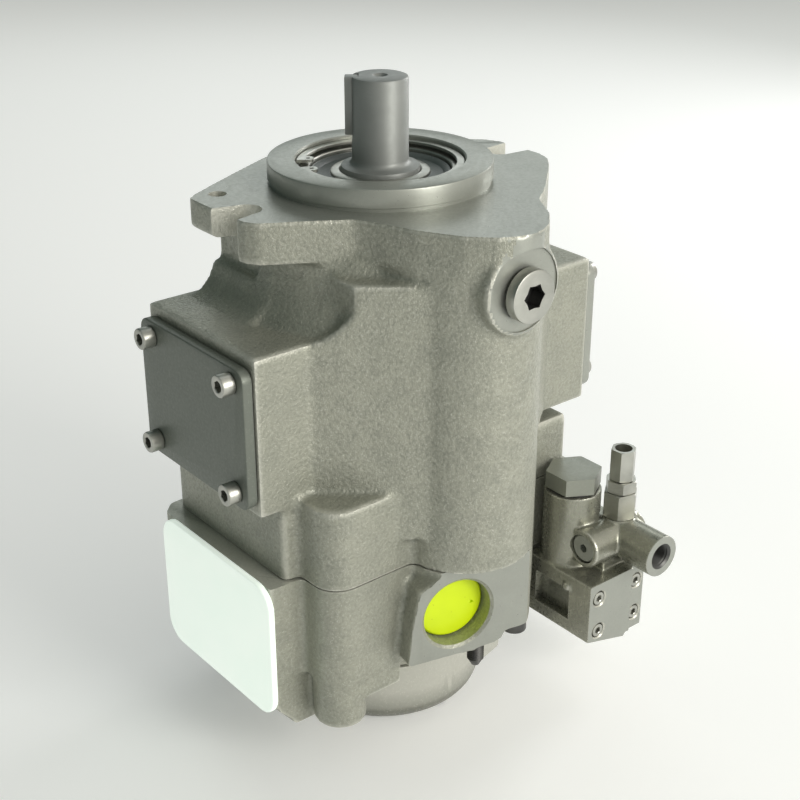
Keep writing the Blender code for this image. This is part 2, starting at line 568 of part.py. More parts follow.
# ---------------------------------------------------------------- compensator valve
LOW_Z, TOP_Z = 41.5, 82.0
body = plate("compensator_body", [(78, -51 - GAP), (78, -108), (115, -108), (117, -106.5), (125, -106.5), (125, -58),
                                  (118, -51 - GAP)][::-1], LOW_Z, TOP_Z)
tower = cylinder("tower", 18, 75, 131, SPOOL_X, SPOOL_Y, 24)
arm = cylinder("arm", 12.5, 86, 131, seg=24, place=aim(FACE_PX, (0, -92, ARM_Z)))
web = box("web", (97, 124), (-99, -62), (80, 108))
port_arm = cylinder("port_arm", 13.5, 80, 128, seg=24, place=aim(FACE_NY, (117.6, 0, 99.2)))
adj_base = cylinder("adj_base", 10.5, 95, 113, ADJ_X, ADJ_Y, 20)
join(body, tower, arm, web, port_arm, adj_base)
baked(body)
tools = [cylinder("spool_bore", 6 + RUN, 50, 112, SPOOL_X, SPOOL_Y, 12),
         cylinder("spring_bore", 11, 108, 140, SPOOL_X, SPOOL_Y, 20),
         cylinder("pilot_bore", 5.5 + RUN, 96, 120, ADJ_X, ADJ_Y, 12),
         cylinder("pilot_seat", 2.2, 88, 100, ADJ_X, ADJ_Y, 8),
         cylinder("adjuster_thread", 7.6, 106, 120, ADJ_X, ADJ_Y, 16),
         cylinder("x_bore", 6.2, 80, 108, seg=12, place=aim(FACE_PX, (0, -92, ARM_Z))),
         cylinder("x_recess", 9.6, 80, 90, seg=20, place=aim(FACE_PX, (0, -92, ARM_Z))),
         cylinder("p_bore", 7.4, 110, 135, seg=20, place=aim(FACE_NY, (117.6, 0, 99.2))),
         box("window", (70, 84), (-90, -60), (50, 72))]
for x, z in VALVE_SCREWS:
    face = -108 if x < 110 else -106.5
    tools += [cylinder("screw_way", 2.75, 40, 115, seg=8, place=aim(FACE_NY, (x, 0, z))),
              cylinder("screw_head_room", 5.0, -face - 5.5, 115, seg=8, place=aim(FACE_NY, (x, 0, z)))]
cut(body, *tools)
finish(body, PAINT)
for number, (x, z) in enumerate(VALVE_SCREWS, 1):
    face = -108 if x < 110 else -106.5
    finish(socket_screw(f"compensator_screw_{number}", 4.5, 5, 2.4, 56, aim(FACE_NY, (x, face + 5.5 - GAP, z)), 8),
           DARK_STEEL)
hexplug = cylinder("compensator_hex_plug", 17.9, 132.2, 143.5, SPOOL_X, SPOOL_Y, 6)
join(hexplug, cylinder("plug_thread", 10.9, 124, 134, SPOOL_X, SPOOL_Y, 20))
finish(hexplug, STEEL)
spool = turned("compensator_spool", [(0, 112.6), (4, 112.6), (10, 112.3), (10, 109.5), (4, 109.2), (4, 108), (6, 107), (6, 94), (4, 93), (4, 86), (6, 85), (6, 74), (4, 73),
                                     (4, 66), (6, 65), (6, 54), (0, 54)], 12)
spool.location = (SPOOL_X * MM, SPOOL_Y * MM, 0)
finish(spool, STEEL, pivot=(SPOOL_X, SPOOL_Y, 81), parent=SPOOL_AXIS)
finish(coil("compensator_spring", 7.4, 2.0, 113.8, 122.6, 3, SPOOL_X, SPOOL_Y, 10), DARK_STEEL)

sleeve = cylinder("adjuster_sleeve", 9.6, 113.3, 130.5, ADJ_X, ADJ_Y, 6)
join(sleeve, cylinder("sleeve_thread", 7.5, 106.3, 115, ADJ_X, ADJ_Y, 16))
cut(sleeve, cylinder("sleeve_bore", 4.15, 100, 135, ADJ_X, ADJ_Y, 12))
finish(sleeve, STEEL)
nut = cylinder("adjuster_lock_nut", 9.0, 131, 138, ADJ_X, ADJ_Y, 6)
cut(nut, cylinder("nut_bore", 4.3, 125, 145, ADJ_X, ADJ_Y, 12))
finish(nut, STEEL)
screw = cylinder("adjusting_screw", 8.6, 139, 159.5, ADJ_X, ADJ_Y, 6)
join(screw, cylinder("screw_shank", 4.0, 112, 141, ADJ_X, ADJ_Y, 12))
cut(screw, cylinder("screw_socket", 5.6, 152, 165, ADJ_X, ADJ_Y, 12))
finish(screw, STEEL, pivot=(ADJ_X, ADJ_Y, 140), parent=ADJUSTER_AXIS)
poppet = turned("pilot_poppet", [(0, 103.5), (3, 103.5), (5.4, 103.3), (5.4, 101), (2.6, 100.6), (2.4, 98.6), (0, 96.4)], 12)
poppet.location = (ADJ_X * MM, ADJ_Y * MM, 0)
finish(poppet, STEEL, pivot=(ADJ_X, ADJ_Y, 100))
finish(coil("pilot_spring", 2.5, 1.1, 104.4, 110.9, 4, ADJ_X, ADJ_Y, 8), DARK_STEEL)
side_plug = turned("compensator_side_plug", [(0, -86), (9.2, -86), (9.2, -89.7), (6.1, -89.7), (6.1, -100), (0, -100)], 12,
                   place=aim(FACE_NX, (0, -92, ARM_Z)) @ Matrix.Translation((0, 0, 0)))
finish(side_plug, STEEL)

for leftover in list(CUTTERS.objects):
    leftover.hide_render = True
    leftover.display_type = 'WIRE'
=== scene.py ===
"""Looks of a swashplate axial piston pump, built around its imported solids.

Every length in the classes below is in millimetres, and MM turns it into metres. The frame is
the one of the solids: origin on the shaft axis at the foot of the rear cover, +Z along the shaft.
"""
import json
import logging
import math
from dataclasses import dataclass, field
from enum import Enum
from typing import Callable, Iterable, Optional, Sequence

import bpy
from mathutils import Matrix, Vector


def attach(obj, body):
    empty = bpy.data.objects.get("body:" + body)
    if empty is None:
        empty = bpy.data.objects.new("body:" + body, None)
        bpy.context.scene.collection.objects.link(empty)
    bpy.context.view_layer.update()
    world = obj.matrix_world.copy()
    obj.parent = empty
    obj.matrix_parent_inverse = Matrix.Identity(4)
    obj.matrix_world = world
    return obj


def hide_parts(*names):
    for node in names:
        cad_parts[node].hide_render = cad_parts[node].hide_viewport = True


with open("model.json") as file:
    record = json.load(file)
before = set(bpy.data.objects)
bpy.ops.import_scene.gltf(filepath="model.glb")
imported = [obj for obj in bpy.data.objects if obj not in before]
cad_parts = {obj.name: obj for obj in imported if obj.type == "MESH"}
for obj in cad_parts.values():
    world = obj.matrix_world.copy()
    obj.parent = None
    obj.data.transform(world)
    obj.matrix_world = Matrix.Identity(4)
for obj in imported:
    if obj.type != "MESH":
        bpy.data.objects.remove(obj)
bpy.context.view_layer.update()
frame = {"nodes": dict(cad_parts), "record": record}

MM = 0.001
XZ = Matrix(((1, 0, 0, 0), (0, 0, -1, 0), (0, 1, 0, 0), (0, 0, 0, 1)))      # stands an outline up
log = logging.getLogger("pump")

Point = tuple[float, float]
Triple = tuple[float, float, float]
Piece = bpy.types.Object


class Body(Enum):
    """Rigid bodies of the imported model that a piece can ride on."""

    PUMP = "pump_body"
    ROTATING = "rotating_group"
    ADJUSTER = "adjuster"


class Facing(Enum):
    """Directions that a flat face or a bore of the pump looks in."""

    LEFT = (-1.0, 0.0, 0.0)
    RIGHT = (1.0, 0.0, 0.0)
    FRONT = (0.0, -1.0, 0.0)
    DOWN = (0.0, 0.0, -1.0)


# ------------------------------------------------------------------ modelling
def deselect() -> None:
    """Leave edit mode and drop every selection."""
    if bpy.context.object is not None and bpy.context.object.mode != 'OBJECT':
        bpy.ops.object.mode_set(mode='OBJECT')
    bpy.ops.object.select_all(action='DESELECT')


def activate(piece: Piece) -> None:
    """Make one piece the only selected and active one.

    Args:
        piece: object to select.
    """
    deselect()
    piece.select_set(True)
    bpy.context.view_layer.objects.active = piece


def facing(direction: Sequence[float], centre: Triple) -> Matrix:
    """Matrix whose Z runs along a direction out of a centre.

    Args:
        direction: heading of the new Z axis.
        centre: origin of the new axes, in millimetres.

    Returns:
        The placing matrix, in metres.
    """
    turn = Vector(direction).to_track_quat('Z', 'Y').to_matrix().to_4x4()
    return Matrix.Translation(Vector(centre) * MM) @ turn


def upright(direction: Sequence[float], centre: Triple) -> Matrix:
    """Matrix whose Z runs along a level direction, with Y kept pointing up.

    Args:
        direction: level heading of the new Z axis.
        centre: origin of the new axes, in millimetres.

    Returns:
        The placing matrix, in metres.
    """
    out = Vector(direction).normalized()
    side = Vector((0.0, 0.0, 1.0)).cross(out)
    turn = Matrix((side, (0.0, 0.0, 1.0), out)).transposed().to_4x4()
    return Matrix.Translation(Vector(centre) * MM) @ turn


def prism(name: str, outline: Sequence[Point], low: float, high: float,
          place: Optional[Matrix] = None) -> Piece:
    """Flat outline extruded upwards.

    Args:
        name: name of the object.
        outline: corners, counter-clockwise, in millimetres.
        low: height of the outline.
        high: height it is extruded to.
        place: matrix that puts the finished shape in its place.

    Returns:
        The new object.
    """
    deselect()
    bpy.ops.mesh.primitive_circle_add(vertices=len(outline), radius=0.01, fill_type='NGON')
    piece = bpy.context.object
    piece.name = name
    for vertex, (x, y) in zip(piece.data.vertices, outline):
        vertex.co = (x * MM, y * MM, low * MM)
    bpy.ops.object.mode_set(mode='EDIT')
    bpy.ops.mesh.select_all(action='SELECT')
    bpy.ops.mesh.extrude_region_move(TRANSFORM_OT_translate={"value": (0, 0, (high - low) * MM)})
    bpy.ops.mesh.select_all(action='SELECT')
    bpy.ops.mesh.normals_make_consistent(inside=False)
    bpy.ops.object.mode_set(mode='OBJECT')
    if place is not None:
        piece.data.transform(place)
    return piece


def drum(name: str, radius: float, low: float, high: float, centre: Point = (0.0, 0.0),
         sides: int = 64, place: Optional[Matrix] = None) -> Piece:
    """Round or many-sided bar along Z.

    Args:
        name: name of the object.
        radius: radius of its corners.
        low: height of the low end.
        high: height of the high end.
        centre: place of the axis in plan.
        sides: number of sides.
        place: matrix that puts the finished shape in its place.

    Returns:
        The new object.
    """
    deselect()
    bpy.ops.mesh.primitive_cone_add(vertices=sides, radius1=radius * MM, radius2=radius * MM,
                                    depth=(high - low) * MM)
    piece = bpy.context.object
    piece.name = name
    piece.data.transform(Matrix.Translation((centre[0] * MM, centre[1] * MM, (low + high) / 2 * MM)))
    if place is not None:
        piece.data.transform(place)
    return piece


def brick(name: str, xs: Point, ys: Point, zs: Point, place: Optional[Matrix] = None) -> Piece:
    """Block between three pairs of limits.

    Args:
        name: name of the object.
        xs: limits along X.
        ys: limits along Y.
        zs: limits along Z.
        place: matrix that puts the finished shape in its place.

    Returns:
        The new object.
    """
    return prism(name, [(xs[0], ys[0]), (xs[1], ys[0]), (xs[1], ys[1]), (xs[0], ys[1])], zs[0], zs[1], place)


def turned(name: str, profile: Sequence[Point], steps: int = 96, place: Optional[Matrix] = None) -> Piece:
    """Profile of (radius, height) points spun about Z.

    Args:
        name: name of the object.
        profile: points of the closed profile, or of an open one that starts and ends on the axis.
        steps: number of steps round.
        place: matrix that puts the finished shape in its place.

    Returns:
        The new object.
    """
    deselect()
    bpy.ops.mesh.primitive_circle_add(vertices=len(profile), radius=0.01, fill_type='NOTHING')
    piece = bpy.context.object
    piece.name = name
    for vertex, (r, z) in zip(piece.data.vertices, profile):
        vertex.co = (r * MM, 0.0, z * MM)
    bpy.ops.object.mode_set(mode='EDIT')
    bpy.ops.mesh.select_all(action='SELECT')
    bpy.ops.mesh.spin(steps=steps, angle=2 * math.pi, center=(0, 0, 0), axis=(0, 0, 1))
    bpy.ops.mesh.select_all(action='SELECT')
    bpy.ops.mesh.remove_doubles(threshold=2e-6)
    bpy.ops.mesh.delete_loose()
    bpy.ops.mesh.select_all(action='SELECT')
    bpy.ops.mesh.normals_make_consistent(inside=False)
    bpy.ops.object.mode_set(mode='OBJECT')
    if place is not None:
        piece.data.transform(place)
    return piece


def combine(piece: Piece, tools: Iterable[Piece], operation: str, solver: str) -> Piece:
    """Apply one Boolean for each tool and delete the tools.

    Args:
        piece: object that keeps the result.
        tools: objects joined to it or cut from it.
        operation: UNION or DIFFERENCE.
        solver: Boolean solver.

    Returns:
        The same object.
    """
    for tool in list(tools):
        activate(piece)
        modifier = piece.modifiers.new(operation, 'BOOLEAN')
        modifier.operation = operation
        modifier.solver = solver
        modifier.object = tool
        bpy.ops.object.modifier_apply(modifier=modifier.name)
        bpy.data.objects.remove(tool, do_unlink=True)
    return piece


def join(piece: Piece, *tools: Piece, solver: str = 'MANIFOLD') -> Piece:
    """Union of a piece and its tools."""
    return combine(piece, tools, 'UNION', solver)


def cut(piece: Piece, *tools: Piece, solver: str = 'MANIFOLD') -> Piece:
    """Piece with its tools cut away."""
    return combine(piece, tools, 'DIFFERENCE', solver)


def cast(piece: Piece, voxel: float, rounds: int) -> Piece:
    """Give a rough joined shape the soft corners and fillets of a casting.

    Args:
        piece: object to remesh.
        voxel: mesh size, in millimetres.
        rounds: smoothing rounds; more rounds give larger fillets.

    Returns:
        The same object.
    """
    activate(piece)
    remesh = piece.modifiers.new("Mesh", 'REMESH')
    remesh.mode = 'VOXEL'
    remesh.voxel_size = voxel * MM
    bpy.ops.object.modifier_apply(modifier=remesh.name)
    smooth = piece.modifiers.new("Fillet", 'SMOOTH')
    smooth.factor = 0.5
    smooth.iterations = rounds
    bpy.ops.object.modifier_apply(modifier=smooth.name)
    return piece


def bevelled(piece: Piece, width: float, segments: int = 2, angle: float = 40.0) -> Piece:
    """Round the sharp edges of a piece.

    Args:
        piece: object to bevel.
        width: bevel width, in millimetres.
        segments: bevel segments.
        angle: edges sharper than this many degrees are bevelled.

    Returns:
        The same object.
    """
    activate(piece)
    bevel = piece.modifiers.new("Edges", 'BEVEL')
    bevel.width = width * MM
    bevel.segments = segments
    bevel.limit_method = 'ANGLE'
    bevel.angle_limit = math.radians(angle)
    bevel.harden_normals = False
    bpy.ops.object.modifier_apply(modifier=bevel.name)
    return piece


def arc(centre: Point, radius: float, start: float, end: float, count: int) -> list[Point]:
    """Points on an arc.

    Args:
        centre: centre of the arc.
        radius: its radius.
        start: first angle, in degrees.
        end: last angle, in degrees.
        count: number of steps.

    Returns:
        count + 1 points.
    """
    angles = [math.radians(start + (end - start) * i / count) for i in range(count + 1)]
    return [(centre[0] + radius * math.cos(a), centre[1] + radius * math.sin(a)) for a in angles]


def bore(way: Facing, radius: float, low: float, high: float, centre: Triple = (0.0, 0.0, 0.0),
         sides: int = 48) -> Piece:
    """Round tool along one of the pump's directions.

    Args:
        way: direction that it points in.
        radius: its radius.
        low: where it starts, along that direction.
        high: where it ends.
        centre: point that it starts from.
        sides: number of sides.

    Returns:
        The new object.
    """
    return drum("t", radius, low, high, sides=sides, place=facing(way.value, centre))


def reflected(outline: Sequence[Point], low: float, high: float, place: Matrix) -> Piece:
    """Prism reflected in X, with its faces turned out again.

    Args:
        outline: corners before the reflection.
        low: height of the outline.
        high: height it is extruded to.
        place: matrix of the prism that it mirrors.

    Returns:
        The new object.
    """
    piece = prism("t", outline, low, high, Matrix.Diagonal((-1.0, 1.0, 1.0, 1.0)) @ place)
    piece.data.flip_normals()
    return piece


def mirrored(outline: Sequence[Point]) -> list[Point]:
    """Outline reflected in X, wound the same way."""
    return [(-x, y) for x, y in reversed(outline)]


def around(count: int, radius: float, start: float) -> list[Point]:
    """Evenly spaced points on a circle about the shaft."""
    return arc((0.0, 0.0), radius, start, start + 360.0, count)[:-1]


def rounded(width: float, height: float, radius: float, steps: int = 8) -> list[Point]:
    """Rounded rectangle about the origin.

    Args:
        width: half width.
        height: half height.
        radius: corner radius.
        steps: steps in each corner.

    Returns:
        Its corners, counter-clockwise.
    """
    x, y = width - radius, height - radius
    points: list[Point] = []
    for centre, angle in (((x, y), 0), ((-x, y), 90), ((-x, -y), 180), ((x, -y), 270)):
        points += arc(centre, radius, angle, angle + 90, steps)
    return points


# ------------------------------------------------------------------ finishes
class Nodes:
    """Short way to add and link shader nodes in one material."""

    def __init__(self, name: str) -> None:
        """Start a material with its Principled shader.

        Args:
            name: name of the material.
        """
        self.material = bpy.data.materials.new(name)
        self.material.use_nodes = True
        self.tree = self.material.node_tree
        self.shader = self.tree.nodes["Principled BSDF"]
        self.coords = self.tree.nodes.new("ShaderNodeTexCoord").outputs["Object"]

    def add(self, kind: str, inputs: dict, **settings: object) -> bpy.types.Node:
        """Add a node.

        Args:
            kind: node type, without the ShaderNode prefix.
            inputs: values or sockets for its inputs.
            settings: properties of the node.

        Returns:
            The node.
        """
        node = self.tree.nodes.new("ShaderNode" + kind)
        for key, value in settings.items():
            setattr(node, key, value)
        for key, value in inputs.items():
            if isinstance(value, bpy.types.NodeSocket):
                self.tree.links.new(value, node.inputs[key])
            else:
                node.inputs[key].default_value = value
        return node

    def noise(self, scale: float, detail: float = 3.0, stretch: Optional[Triple] = None) -> bpy.types.NodeSocket:
        """Noise value.

        Args:
            scale: noise scale per metre.
            detail: levels of detail.
            stretch: scale along each axis, for grain.

        Returns:
            Its value socket.
        """
        where = self.coords
        if stretch is not None:
            where = self.add("Mapping", {"Vector": where, "Scale": stretch}).outputs["Vector"]
        return self.add("TexNoise", {"Vector": where, "Scale": scale, "Detail": detail}).outputs["Fac"]

    def step(self, value: bpy.types.NodeSocket, low: float, high: float,
             to_low: float = 0.0, to_high: float = 1.0) -> bpy.types.NodeSocket:
        """Remap a value between two limits.

        Args:
            value: socket to remap.
            low: value that becomes to_low.
            high: value that becomes to_high.
            to_low: lower result.
            to_high: upper result.

        Returns:
            The clamped result.
        """
        node = self.add("MapRange", {0: value, 1: low, 2: high, 3: to_low, 4: to_high}, clamp=True)
        return node.outputs[0]

    def mix(self, amount: bpy.types.NodeSocket, first: object, second: object) -> bpy.types.NodeSocket:
        """Blend two colours.

        Args:
            amount: 0 for the first, 1 for the second.
            first: colour or socket.
            second: colour or socket.

        Returns:
            The colour socket.
        """
        node = self.tree.nodes.new("ShaderNodeMix")
        node.data_type = 'RGBA'
        self.tree.links.new(amount, node.inputs[0])
        for index, value in ((6, first), (7, second)):
            if isinstance(value, bpy.types.NodeSocket):
                self.tree.links.new(value, node.inputs[index])
            else:
                node.inputs[index].default_value = (*value, 1.0)
        return node.outputs[2]

    def math(self, operation: str, first: object, second: object) -> bpy.types.NodeSocket:
        """Result of a Math node."""
        return self.add("Math", {0: first, 1: second}, operation=operation).outputs[0]

    def bump(self, height: bpy.types.NodeSocket, depth: float,
             under: Optional[bpy.types.NodeSocket] = None) -> bpy.types.NodeSocket:
        """Bump from a height.

        Args:
            height: height between 0 and 1.
            depth: depth of the bump, in millimetres.
            under: normal of a coarser bump below it.

        Returns:
            The normal socket.
        """
        inputs = {"Height": height, "Strength": 1.0, "Distance": depth * MM}
        if under is not None:
            inputs["Normal"] = under
        return self.add("Bump", inputs).outputs["Normal"]

    def finish(self, colour: object, roughness: object, metallic: float,
               normal: Optional[bpy.types.NodeSocket] = None) -> bpy.types.Material:
        """Plug the result into the shader.

        Args:
            colour: colour or socket.
            roughness: value or socket.
            metallic: metallic value.
            normal: normal socket.

        Returns:
            The material.
        """
        for key, value in (("Base Color", colour), ("Roughness", roughness)):
            if isinstance(value, bpy.types.NodeSocket):
                self.tree.links.new(value, self.shader.inputs[key])
            else:
                self.shader.inputs[key].default_value = (*value, 1.0) if key == "Base Color" else value
        self.shader.inputs["Metallic"].default_value = metallic
        if normal is not None:
            self.tree.links.new(normal, self.shader.inputs["Normal"])
        return self.material


@dataclass(frozen=True)
class CastPaint:
    """Thin metallic paint over a cast surface."""

    name: str
    slot: str = "grey_paint"
    colour: Triple = (0.355, 0.357, 0.30)
    dark: Triple = (0.20, 0.21, 0.18)
    # colour of painted highlights: the glint dots and the lit convex edges are lightened towards it
    painted_highlight: Triple = (0.82, 0.81, 0.74)
    roughness: float = 0.42
    metallic: float = 0.40
    grain: float = 1.0
    pits: float = 0.55
    wave: float = 0.5
    # convex edges get a painted highlight and creases a painted shade
    painted_edge_light_and_shade: bool = True

    def make(self) -> bpy.types.Material:
        """Build the material.

        Returns:
            The material.
        """
        n = Nodes(self.name)
        coarse = n.noise(70.0, 2.0)
        grit = n.noise(520.0, 2.5)
        fine = n.noise(1700.0, 2.0)
        tone = n.mix(n.step(coarse, 0.30, 0.62, 0.72, 1.0), self.dark, self.colour)
        tone = n.mix(n.step(grit, 0.26, 0.50, 1.0 - 0.42 * self.grain, 1.0), self.dark, tone)
        # the sparkle dots are lightened towards the highlight colour: painted glints on the grit
        sparkle = n.math('MULTIPLY', n.step(fine, 0.56, 0.64), n.step(grit, 0.50, 0.60))
        tone = n.mix(n.math('MULTIPLY', sparkle, 0.5 * self.grain), tone, self.painted_highlight)
        # painted highlight on convex edges and painted shade in creases and hollow corners, from the pointiness
        # of the mesh
        if self.painted_edge_light_and_shade:
            edge = n.add("NewGeometry", {}).outputs["Pointiness"]
            tone = n.mix(n.step(edge, 0.515, 0.56, 0.0, 0.55), tone, self.painted_highlight)
            tone = n.mix(n.step(edge, 0.485, 0.44, 0.0, 0.7), tone, self.dark)
        gloss = n.math('SUBTRACT', n.step(grit, 0.3, 0.7, self.roughness + 0.08, self.roughness - 0.08),
                       n.math('MULTIPLY', sparkle, 0.12 * self.grain))
        normal = n.bump(coarse, self.wave)
        normal = n.bump(grit, self.pits * self.grain, normal)
        normal = n.bump(fine, self.pits * 0.3 * self.grain, normal)
        return n.finish(tone, gloss, self.metallic, normal)


@dataclass(frozen=True)
class Steel:
    """Turned, ground or drawn steel with fine grain."""

    name: str
    slot: str = "bright_steel"
    colour: Triple = (0.52, 0.52, 0.50)
    dark: Triple = (0.36, 0.36, 0.35)
    roughness: float = 0.30
    metallic: float = 0.95
    stretch: Triple = (1.0, 1.0, 12.0)
    grain: float = 0.015

    def make(self) -> bpy.types.Material:
        """Build the material.

        Returns:
            The material.
        """
        n = Nodes(self.name)
        lines = n.noise(260.0, 4.0, self.stretch)
        cloud = n.noise(60.0, 3.0)
        tone = n.mix(n.step(cloud, 0.35, 0.65), self.dark, self.colour)
        tone = n.mix(n.step(lines, 0.3, 0.7, 0.0, 0.5), tone, self.colour)
        gloss = n.step(lines, 0.3, 0.7, self.roughness - 0.06, self.roughness + 0.08)
        return n.finish(tone, gloss, self.metallic, n.bump(lines, self.grain))


@dataclass(frozen=True)
class Plastic:
    """Moulded plastic or rubber with a faint texture and stray specks."""

    name: str
    slot: str
    colour: Triple
    dark: Triple
    roughness: float = 0.4
    texture: float = 0.03
    speck: float = 0.0
    glow: float = 0.0

    def make(self) -> bpy.types.Material:
        """Build the material.

        Returns:
            The material.
        """
        n = Nodes(self.name)
        cloud = n.noise(45.0, 3.0)
        fine = n.noise(900.0, 2.0)
        tone = n.mix(n.step(cloud, 0.3, 0.7), self.dark, self.colour)
        if self.speck > 0.0:
            specks = n.step(n.noise(330.0, 1.0), 0.74, 0.78, 0.0, self.speck)
            tone = n.mix(specks, tone, (0.10, 0.10, 0.01))
        material = n.finish(tone, n.step(fine, 0.3, 0.7, self.roughness - 0.05, self.roughness + 0.05), 0.0,
                            n.bump(fine, self.texture))
        if self.glow > 0.0:
            n.tree.links.new(tone, n.shader.inputs["Emission Color"])
            n.shader.inputs["Emission Strength"].default_value = self.glow
        return material


Finish = CastPaint | Steel | Plastic
_made: dict[str, bpy.types.Material] = {}

ROUGH_CAST = CastPaint("rough_cast_paint")
BLOCK_CAST = CastPaint("block_cast_paint", grain=0.85, pits=0.5)
COVER_CAST = CastPaint("rear_cover_paint", colour=(0.17, 0.175, 0.145), dark=(0.125, 0.13, 0.11), grain=0.6,
                       pits=0.15)
FINE_CAST = CastPaint("valve_cast_paint", colour=(0.33, 0.33, 0.275), dark=(0.20, 0.205, 0.175), grain=0.35,
                      pits=0.12, wave=0.25, roughness=0.30, metallic=0.7)
PLUG_PAINT = CastPaint("valve_plug_paint", colour=(0.29, 0.30, 0.26), dark=(0.25, 0.26, 0.23), grain=0.1,
                       pits=0.04, wave=0.05, roughness=0.36, metallic=0.6, painted_edge_light_and_shade=False)
MACHINED = CastPaint("machined_face_paint", colour=(0.36, 0.37, 0.335), dark=(0.29, 0.30, 0.27), grain=0.12,
                     pits=0.04, wave=0.03, roughness=0.36, metallic=0.6, painted_edge_light_and_shade=False)
# darker copy of the side plate paint: painted shade for the left plate, which faces away from the light
SHADED_PLATE_PAINT = CastPaint("shaded_plate_paint", colour=(0.165, 0.18, 0.155), dark=(0.145, 0.158, 0.138), grain=0.15,
                        pits=0.04, wave=0.05, roughness=0.42, metallic=0.4, painted_edge_light_and_shade=False)
SHAFT_STEEL = Steel("ground_shaft_steel", colour=(0.29, 0.30, 0.29), dark=(0.25, 0.26, 0.25), roughness=0.48,
                    metallic=0.55, stretch=(1.0, 1.0, 4.0), grain=0.006)
SCREW_STEEL = Steel("screw_steel", colour=(0.50, 0.50, 0.46), dark=(0.33, 0.33, 0.30), roughness=0.34)
# dark steel of screws, bolts and the stud; it also stands as painted shade inside the drain plug's socket and
# the valve's threaded port
DARK_STEEL_AND_RECESS_SHADE = Steel("dark_steel_and_recess_shade", slot="dark_steel", colour=(0.14, 0.14, 0.135), dark=(0.07, 0.07, 0.07),
                   roughness=0.42)
PLAIN_STEEL = Steel("inner_steel", roughness=0.36)
BRONZE = Steel("bearing_bronze", slot="bronze", colour=(0.60, 0.40, 0.16), dark=(0.42, 0.27, 0.10),
               roughness=0.35)
SEAL_FACE = Plastic("seal_face_rubber", "rubber", (0.10, 0.118, 0.114), (0.075, 0.09, 0.087), 0.42)
RUBBER = Plastic("seal_rubber", "rubber", (0.022, 0.022, 0.022), (0.012, 0.012, 0.012), 0.55)
YELLOW = Plastic("yellow_plug_plastic", "yellow_plastic", (0.66, 0.82, 0.0), (0.60, 0.76, 0.0),
                 0.45, 0.02, 0.5, 0.08)
WHITE = Plastic("white_cover_plastic", "white_plastic", (0.88, 0.95, 0.88), (0.83, 0.93, 0.85),
                0.45, 0.02, 0.0, 0.47)


def dress(piece: Piece, *finishes: Finish) -> None:
    """Put finishes on a piece, one for each of its material slots.

    Args:
        piece: object to dress.
        finishes: finishes in slot order.
    """
    if len(piece.data.materials) != len(finishes):
        piece.data.materials.clear()
        for _ in finishes:
            piece.data.materials.append(None)
    for index, finish in enumerate(finishes):
        if finish.name not in _made:
            _made[finish.name] = finish.make()
        piece.data.materials[index] = _made[finish.name]


def paint_faces(piece: Piece, index: int, test: Callable[[Vector, Vector], bool]) -> None:
    """Give the faces that pass a test another material slot.

    Args:
        piece: object whose faces are tested.
        index: slot number for the faces that pass.
        test: takes a face's centre, in millimetres, and its normal.
    """
    for polygon in piece.data.polygons:
        if test(polygon.center / MM, polygon.normal):
            polygon.material_index = index


def settle(piece: Piece, body: Body, finishes: Sequence[Finish], replaces: Sequence[str] = (),
           angle: float = 32.0) -> Piece:
    """Finish a piece: shading, materials, body and the nodes it stands for.

    Args:
        piece: the built object.
        body: body that it rides on.
        finishes: its finishes, in slot order.
        replaces: nodes of the solids that it replaces.
        angle: edges sharper than this many degrees stay sharp.

    Returns:
        The same object.
    """
    activate(piece)
    dress(piece, *finishes)
    bpy.ops.object.shade_smooth_by_angle(angle=math.radians(angle))
    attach(piece, body.value)
    if replaces:
        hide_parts(*replaces)
    log.info("%s: %d faces on %s", piece.name, len(piece.data.polygons), body.value)
    return piece


# ------------------------------------------------------------------ sub-assemblies
LEVERS = ((-82.0, -63.0), (82.0, 63.0), (-82.0, 63.0))      # large housing bolts
SMALL_BOLT = (63.0, -57.0)
SEAM = (132.3, 133.2)                                       # top of the block, foot of the housing
BULGE = (0.0, -76.0)
BULGE_R = 40.4
DRAIN_PLUG_Z = 299.0
TRUNNION = (0.0, 0.0, 226.0)                                # middle of the swashplate's axis
SIDE_PORT = (0.0, 2.0, 88.0)                                # middle of both side ports
COVER_BOLTS = [(y, z) for y in (-37.0, 43.0) for z in (192.0, 256.0)]


def joint_outline(edge: float, front: float) -> list[Point]:
    """Plan of the castings where they meet.

    Args:
        edge: half width.
        front: how far the left front edge stands from the axis.

    Returns:
        The outline, counter-clockwise.
    """
    points = [(-edge, -front), (-98.0, -front - 1.0)]
    points += arc((-82.0, -63.0), 16.0, 180, 270, 8) + [(-52.0, -78.7), (34.0, -79.2), (54.0, -69.0)]
    points += arc((63.0, -57.0), 10.0, 235, 330, 5) + [(76.0, -50.9), (edge, -50.6)]
    back = [(edge, 60.0), (edge - 8.0, 68.0)] + arc((82.0, 63.0), 16.0, 20, 90, 6)
    return points + back + mirrored(back)


